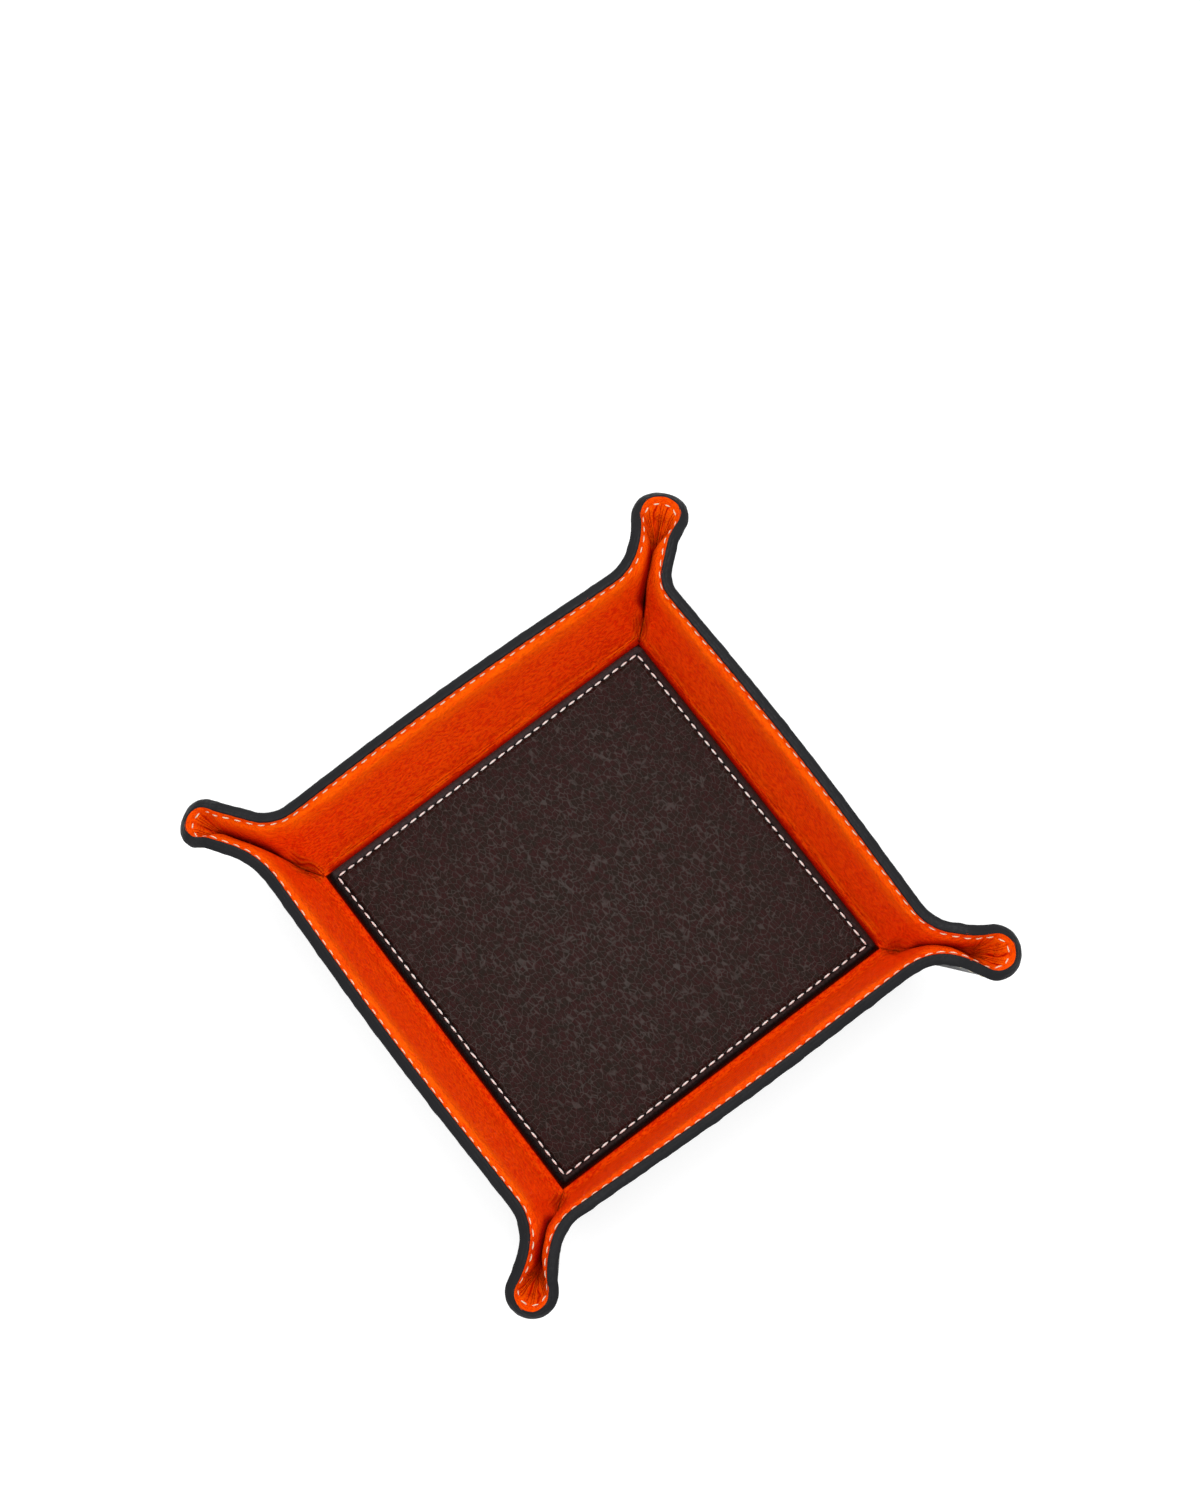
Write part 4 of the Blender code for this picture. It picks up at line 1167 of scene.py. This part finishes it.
# Orange leather of the lining: soft calf leather with a fine wavy grain that runs along the walls.
# Noises have a scale, a detail and a stretch, and ranges have two ends and the values there.
orangeLook = {
    "surface": {"Roughness": 0.42, "Specular_IOR_Level": 0.30, "Specular_Tint": (1.0, 0.22, 0.01)},
    "relief": 0.30 * mm,
    "ripples": (1350.0, 2.0, (0.50, 0.50, 1.0)),
    "rippleBend": 0.4,
    "rippleHeight": 2.6,
    "rippleLine": (0.42, 0.53),
    "rippleRoughness": (0.3, 0.7, 0.38, 0.52),
    "scaleStretch": (1.0, 1.0, 1.7),
    "scales": {"Cells": 620.0, "Wobble": 0.5, "Crease": 0.16},
    "scaleHeight": 0.30,
    # folds along the foot of the walls, more on the two sides that face the light, with painted highlights on
    # their ridges and painted shade along their lines
    "folds": (1400.0, 2.0, (0.09, 0.09, 1.0)),
    "foldHeight": 2.8,
    "foldFoot": (1.5 * mm, 6.0 * mm, 1.0, 0.0),
    "foldSides": (-1.0, 1.0, 1.0, 0.2),
    "foldLine": (0.36, 0.48, 0.55, 0.0),
    "foldRidge": (0.54, 0.66),
    # wrinkles of the bowls and crumples of the corners, with painted highlights on their ridges and painted
    # shade in their valleys
    "wobble": (1.0, 1.0, (0.7, 260.0, 0.0)),
    "wobbleBy": 0.8,
    "uneven": (1.0, 1.0, (0.45, 90.0, 0.0)),
    "unevenRange": (0.38, 0.58, 0.35, 1.0),
    "strandRidge": (0.65, 1.0),
    "strandLine": (0.08, 0.55, 1.0, 0.0),
    # the puffed band below the seam carries a painted highlight, in streaks along the rim, weaker on the +X
    # wall
    "bandRise": (1.5 * mm, 3.6 * mm, 0.6, 1.0),
    "bandFall": (3.6 * mm, 14.0 * mm, 1.0, 0.0),
    "bandSide": (0.0, 4.0, 1.0, 0.55),
    "streaks": (150.0, 3.0, (1.0, 1.0, 5.0)),
    "streakRange": (0.25, 0.65, 0.20, 0.80),
    "bowlHighlightBy": 0.8,
    # creases, and the floor right beside the pad, lie in deep shade
    "thinShade": (0.0, 0.6, 0.95, 0.0),
    "wideShade": ((-1.0, 0.0), (0.0, 3.0, 0.60, 0.0), (-3.0, 0.0, 1.0, 0.0)),
    "shadeRange": (0.0, 0.55),
    "deepRange": (0.35, 1.0),
    "blotch": (45.0, 3.0),
    "blotchRange": (0.3, 0.7),
    "duller": (0.99, 0.062, 0.0003),
    "brighter": (1.0, 0.074, 0.0004),
    "grainLine": (0.82, 0.025, 0.0002),
    "highlightColour": (0.98, 0.125, 0.0005),
    "wrinkleShade": (0.48, 0.004, 0.0001),
    "shade": (0.40, 0.0030, 0.0001),
    "deepShade": (0.014, 0.0004, 0.0001),
}


def orangeLeather(grain):
    look = orangeLook
    material = newMaterial("orangeLiningLeather", **look["surface"])
    tree = material.node_tree
    names = ({"attribute_name": name} for name in ("leatherPlace", "leatherShade", "leatherStrand"))
    place, shade, strand = (addNode(tree, "Attribute", name).outputs["Vector"] for name in names)
    fromRim, dark, paintedHighlight = split(shade)
    number, _, strength = split(strand)
    onX, onY, _ = split(objectPlace(material))
    near = most(onX, times(onY, -1.0))
    far = most(onY, times(onX, -1.0))

    ripples = noise(place, *look["ripples"], Distortion=look["rippleBend"])
    scales = useGroup(grain, scaled(place, look["scaleStretch"]), **look["scales"])
    folds = noise(place, *look["folds"])
    nearFold = times(ramp(split(place)[2], *look["foldFoot"]), acrossPad(near, *look["foldSides"]))
    number = plus(number, times(noise(strand, *look["wobble"]), look["wobbleBy"]))
    strands = mathNode("ABSOLUTE", mathNode("SINE", times(number, math.pi), 0.0), 0.0)
    height = plus(times(ripples, look["rippleHeight"]), times(scales["Height"], look["scaleHeight"]),
                  times(folds, nearFold, look["foldHeight"]), times(strands, strength))

    base = blend(ramp(noise(place, *look["blotch"]), *look["blotchRange"]), look["duller"], look["brighter"])
    base = blend(ramp(ripples, *look["rippleLine"]), look["grainLine"], base)
    streaks = ramp(noise(place, *look["streaks"]), *look["streakRange"])
    seamHighlight = times(ramp(fromRim, *look["bandRise"]), ramp(fromRim, *look["bandFall"]), streaks,
                 acrossPad(onX, *look["bandSide"]))
    # painted highlights: the band below the seam, the bowls, and the ridges of folds and crumples
    highlights = most(seamHighlight, times(paintedHighlight, look["bowlHighlightBy"]), times(ramp(folds, *look["foldRidge"]), nearFold),
                   times(ramp(strands, *look["strandRidge"]), strength))
    base = blend(highlights, base, look["highlightColour"])
    uneven = ramp(noise(strand, *look["uneven"]), *look["unevenRange"])
    # painted shade along the fold lines and in the valleys of the wrinkles and crumples
    line = most(times(ramp(folds, *look["foldLine"]), nearFold),
                times(ramp(strands, *look["strandLine"]), strength, uneven))
    base = blend(line, base, look["wrinkleShade"])

    upTo, beyond, nearSide = look["wideShade"]
    wide = times(acrossPad(far, *upTo), acrossPad(far, *beyond), acrossPad(near, *nearSide))
    deep = most(dark, acrossPad(most(near, far), *look["thinShade"]), wide)
    base = blend(ramp(deep, *look["shadeRange"]), base, look["shade"])
    base = blend(ramp(deep, *look["deepRange"]), base, look["deepShade"])
    return dress(material, base, height, look["relief"], Roughness=ramp(ripples, *look["rippleRoughness"]))


# Black leather of the outside
blackLook = {
    "surface": {"Roughness": 0.45, "Specular_IOR_Level": 0.25},
    "relief": 0.12 * mm,
    "cells": {"Cells": 620.0, "Wobble": 0.5, "Crease": 0.2},
    "blotchScale": 60.0,
    "lineShare": 0.5,
    "roughnessRange": (0.3, 0.7, 0.40, 0.52),
    "black": (0.008, 0.008, 0.009),
    "greyer": (0.014, 0.014, 0.016),
    "line": (0.004, 0.004, 0.005),
}


def blackLeather(grain):
    look = blackLook
    material = newMaterial("blackOuterLeather", **look["surface"])
    place = objectPlace(material)
    cells = useGroup(grain, place, **look["cells"])
    blotch = noise(place, look["blotchScale"])
    base = blend(blotch, look["black"], look["greyer"])
    base = blend(times(cells["Line"], look["lineShare"]), base, look["line"])
    rough = ramp(blotch, *look["roughnessRange"])
    return dress(material, base, cells["Height"], look["relief"], Roughness=rough)


# Satin black paint of the edge, with small lumps
paintLook = {
    "surface": {"Roughness": 0.38, "Specular_IOR_Level": 0.16},
    "relief": 0.10 * mm,
    "lumps": (900.0, 4.0),
    "lumpRoughness": 0.6,
    "slowScale": 140.0,
    "roughnessRange": (0.3, 0.7, 0.34, 0.55),
    "black": (0.005, 0.005, 0.006),
    "greyer": (0.011, 0.011, 0.013),
}


def edgePaint():
    look = paintLook
    material = newMaterial("blackEdgePaint", **look["surface"])
    place = objectPlace(material)
    lumps = noise(place, *look["lumps"], Roughness=look["lumpRoughness"])
    base = blend(noise(place, look["slowScale"]), look["black"], look["greyer"])
    return dress(material, base, lumps, look["relief"], Roughness=ramp(lumps, *look["roughnessRange"]))


# Brown leather of the pad, whose fine creases catch a paler violet grey
brownLook = {
    "surface": {"Roughness": 0.50, "Specular_IOR_Level": 0.12},
    "relief": 0.24 * mm,
    "turnDeg": 7.0,
    "stretch": (1.75, 1.0, 1.0),
    "cells": {"Cells": 700.0, "Wobble": 0.26, "Crease": 0.12},
    "fineScale": 2200.0,
    "fineHeight": 0.12,
    "blotchScale": 420.0,
    "blotchRange": (0.3, 0.7),
    "uneven": (110.0, 1.0),
    "unevenRange": (0.3, 0.65, 0.78, 1.0),
    "roughnessRange": (0.2, 0.9, 0.62, 0.46),
    # the border outside the seam is smooth, with a greyer tone that is stronger on the -X side as a painted
    # sheen;
    # painted shade darkens it towards its foot, more on the two sides away from the light
    "seamRange": (-3.2, -2.4),
    "borderSheenSide": (-3.2, -2.4, 0.27, 0.75),
    "borderGrain": (0.0, 1.0, 0.78, 0.0),
    "nearShift": 0.6 * mm,
    "grooveShade": (0.15 * mm, 0.50 * mm, 0.85, 0.0),
    "nearShade": (-2.0, -0.9, 0.0, 0.96),
    "footShade": (-1.6 * mm, -0.6 * mm),
    "footDark": 0.85,
    "brown": (0.0125, 0.0064, 0.0034),
    "redder": (0.0235, 0.0048, 0.0042),
    "line": (0.062, 0.052, 0.048),
    "border": (0.046, 0.036, 0.037),
    "shade": (0.0005, 0.0004, 0.0004),
}


def brownLeather(grain):
    look = brownLook
    material = newMaterial("brownPadLeather", **look["surface"])
    place = objectPlace(material)
    turned = addNode(material.node_tree, "Mapping", {"vector_type": "TEXTURE"}, Vector=place,
                     Rotation=(0.0, 0.0, math.radians(look["turnDeg"])), Scale=look["stretch"]).outputs[0]
    cells = useGroup(grain, turned, **look["cells"])
    height = plus(cells["Height"], times(noise(place, look["fineScale"]), look["fineHeight"]))
    base = blend(ramp(noise(place, look["blotchScale"]), *look["blotchRange"]), look["brown"], look["redder"])
    onX, onY, onZ = split(place)
    near = most(onX, minus(look["nearShift"], onY))
    toEdge = most(near, most(onY, times(onX, -1.0)))
    border = acrossPad(toEdge, *look["seamRange"])
    uneven = ramp(noise(place, *look["uneven"]), *look["unevenRange"])
    base = blend(times(cells["Line"], ramp(border, *look["borderGrain"]), uneven), base, look["line"])
    # the smooth border takes a greyer tone, with more of it on the -X side as a painted sheen where light
    # falls
    base = blend(times(border, acrossPad(times(onX, -1.0), *look["borderSheenSide"])), base, look["border"])
    # painted shade: in the seam's groove, towards the pad's foot, and over the border on the two sides away
    # from the light
    groove = ramp(mathNode("ABSOLUTE", minus(toEdge, seamSide), 0.0), *look["grooveShade"])
    low, high = (pad["top"] + end for end in look["footShade"])
    dark = most(groove, ramp(onZ, low, high, look["footDark"], 0.0), acrossPad(near, *look["nearShade"]))
    rough = ramp(cells["Height"], *look["roughnessRange"])
    return dress(material, blend(dark, base, look["shade"]), height, look["relief"], Roughness=rough)


# Twisted thread: slanting plies by UV along and around each stitch
threadLook = {
    "surface": {"Roughness": 0.6, "Specular_IOR_Level": 0.3},
    "relief": 0.05 * mm,
    "plies": (2.0, 5.0),
    "fibreScale": 4000.0,
    "fibreHeight": 0.6,
    "lightRange": (-0.6, 1.0),
    # light and dark colour
    "creamWaxedThread": ((0.96, 0.92, 0.88), (0.80, 0.74, 0.68)),
    "warmCreamThread": ((0.90, 0.82, 0.62), (0.70, 0.60, 0.42)),
    "orangeThread": ((0.62, 0.06, 0.006), (0.35, 0.02, 0.002)),
}


def threadMaterial(name):
    look = threadLook
    light, dark = look[name]
    material = newMaterial(name, **look["surface"])
    around, along, _ = split(addNode(material.node_tree, "TexCoord").outputs["UV"])
    turns = plus(times(along, look["plies"][1]), times(around, look["plies"][0]))
    ply = mathNode("SINE", times(turns, fullTurn), 0.0)
    height = plus(ply, times(noise(objectPlace(material), look["fibreScale"]), look["fibreHeight"]))
    return dress(material, blend(ramp(height, *look["lightRange"]), dark, light), height, look["relief"])


# Hidden solids keep their meshes and get a plain fibrous finish:
# roughness, specular level, noise, relief, and the dark and light colour
fibreLooks = {
    "greyFibreBoard": (0.85, 0.3, (1500.0, 4.0), 0.05 * mm, (0.22, 0.21, 0.19), (0.38, 0.36, 0.33)),
    "darkFeltCore": (0.95, 0.2, (2500.0, 5.0), 0.10 * mm, (0.06, 0.06, 0.06), (0.14, 0.14, 0.14)),
}


def fibreMaterial(name):
    roughness, specular, fibres, relief, dark, light = fibreLooks[name]
    material = newMaterial(name, Roughness=roughness, Specular_IOR_Level=specular)
    fuzz = noise(objectPlace(material), *fibres)
    return dress(material, blend(fuzz, dark, light), fuzz, relief)


def refinishNodes(material, *names):
    for name in names:
        for holder in frame["nodes"][name].material_slots:
            holder.material = material


def main():
    bpy.context.scene.view_settings.view_transform = "Standard"
    addCamera()
    addWorld()
    addLamps()
    addFloor()
    print("stage: camera, lamps and floor are in place")

    grain = makeGrainGroup()
    blank = makeBlank()
    phase = stitchPhase(blank, 0.0)
    addLining(blank, phase, orangeLeather(grain))
    addOuter(blank, blackLeather(grain))
    addEdge(blank, phase, edgePaint())
    addPad(brownLeather(grain))

    addPadSeam(threadMaterial("creamWaxedThread"))
    rimThread = threadMaterial("warmCreamThread")
    normals = sectionNormals(blank, blank.seamShare)
    inside = liningRow(blank, blank.seamShare, phase)
    addRimSeam("rim_stitches_inside", inside, -normals, rimThread, "rim_stitching_inside")
    outside = outerRow(blank, blank.seamShare, stitchPhase(blank, outerFar))
    addRimSeam("rim_stitches_outside", outside, normals, rimThread, "rim_stitching_outside")

    numbers = range(1, 5)
    stiffeners = (f"wall_stiffener_{number}" for number in numbers)
    refinishNodes(fibreMaterial("greyFibreBoard"), "base_board", *stiffeners)
    refinishNodes(fibreMaterial("darkFeltCore"), "pad_core")
    refinishNodes(threadMaterial("orangeThread"), *(f"corner_tack_{number}" for number in numbers))
    print("stage: all pieces are made")


main()
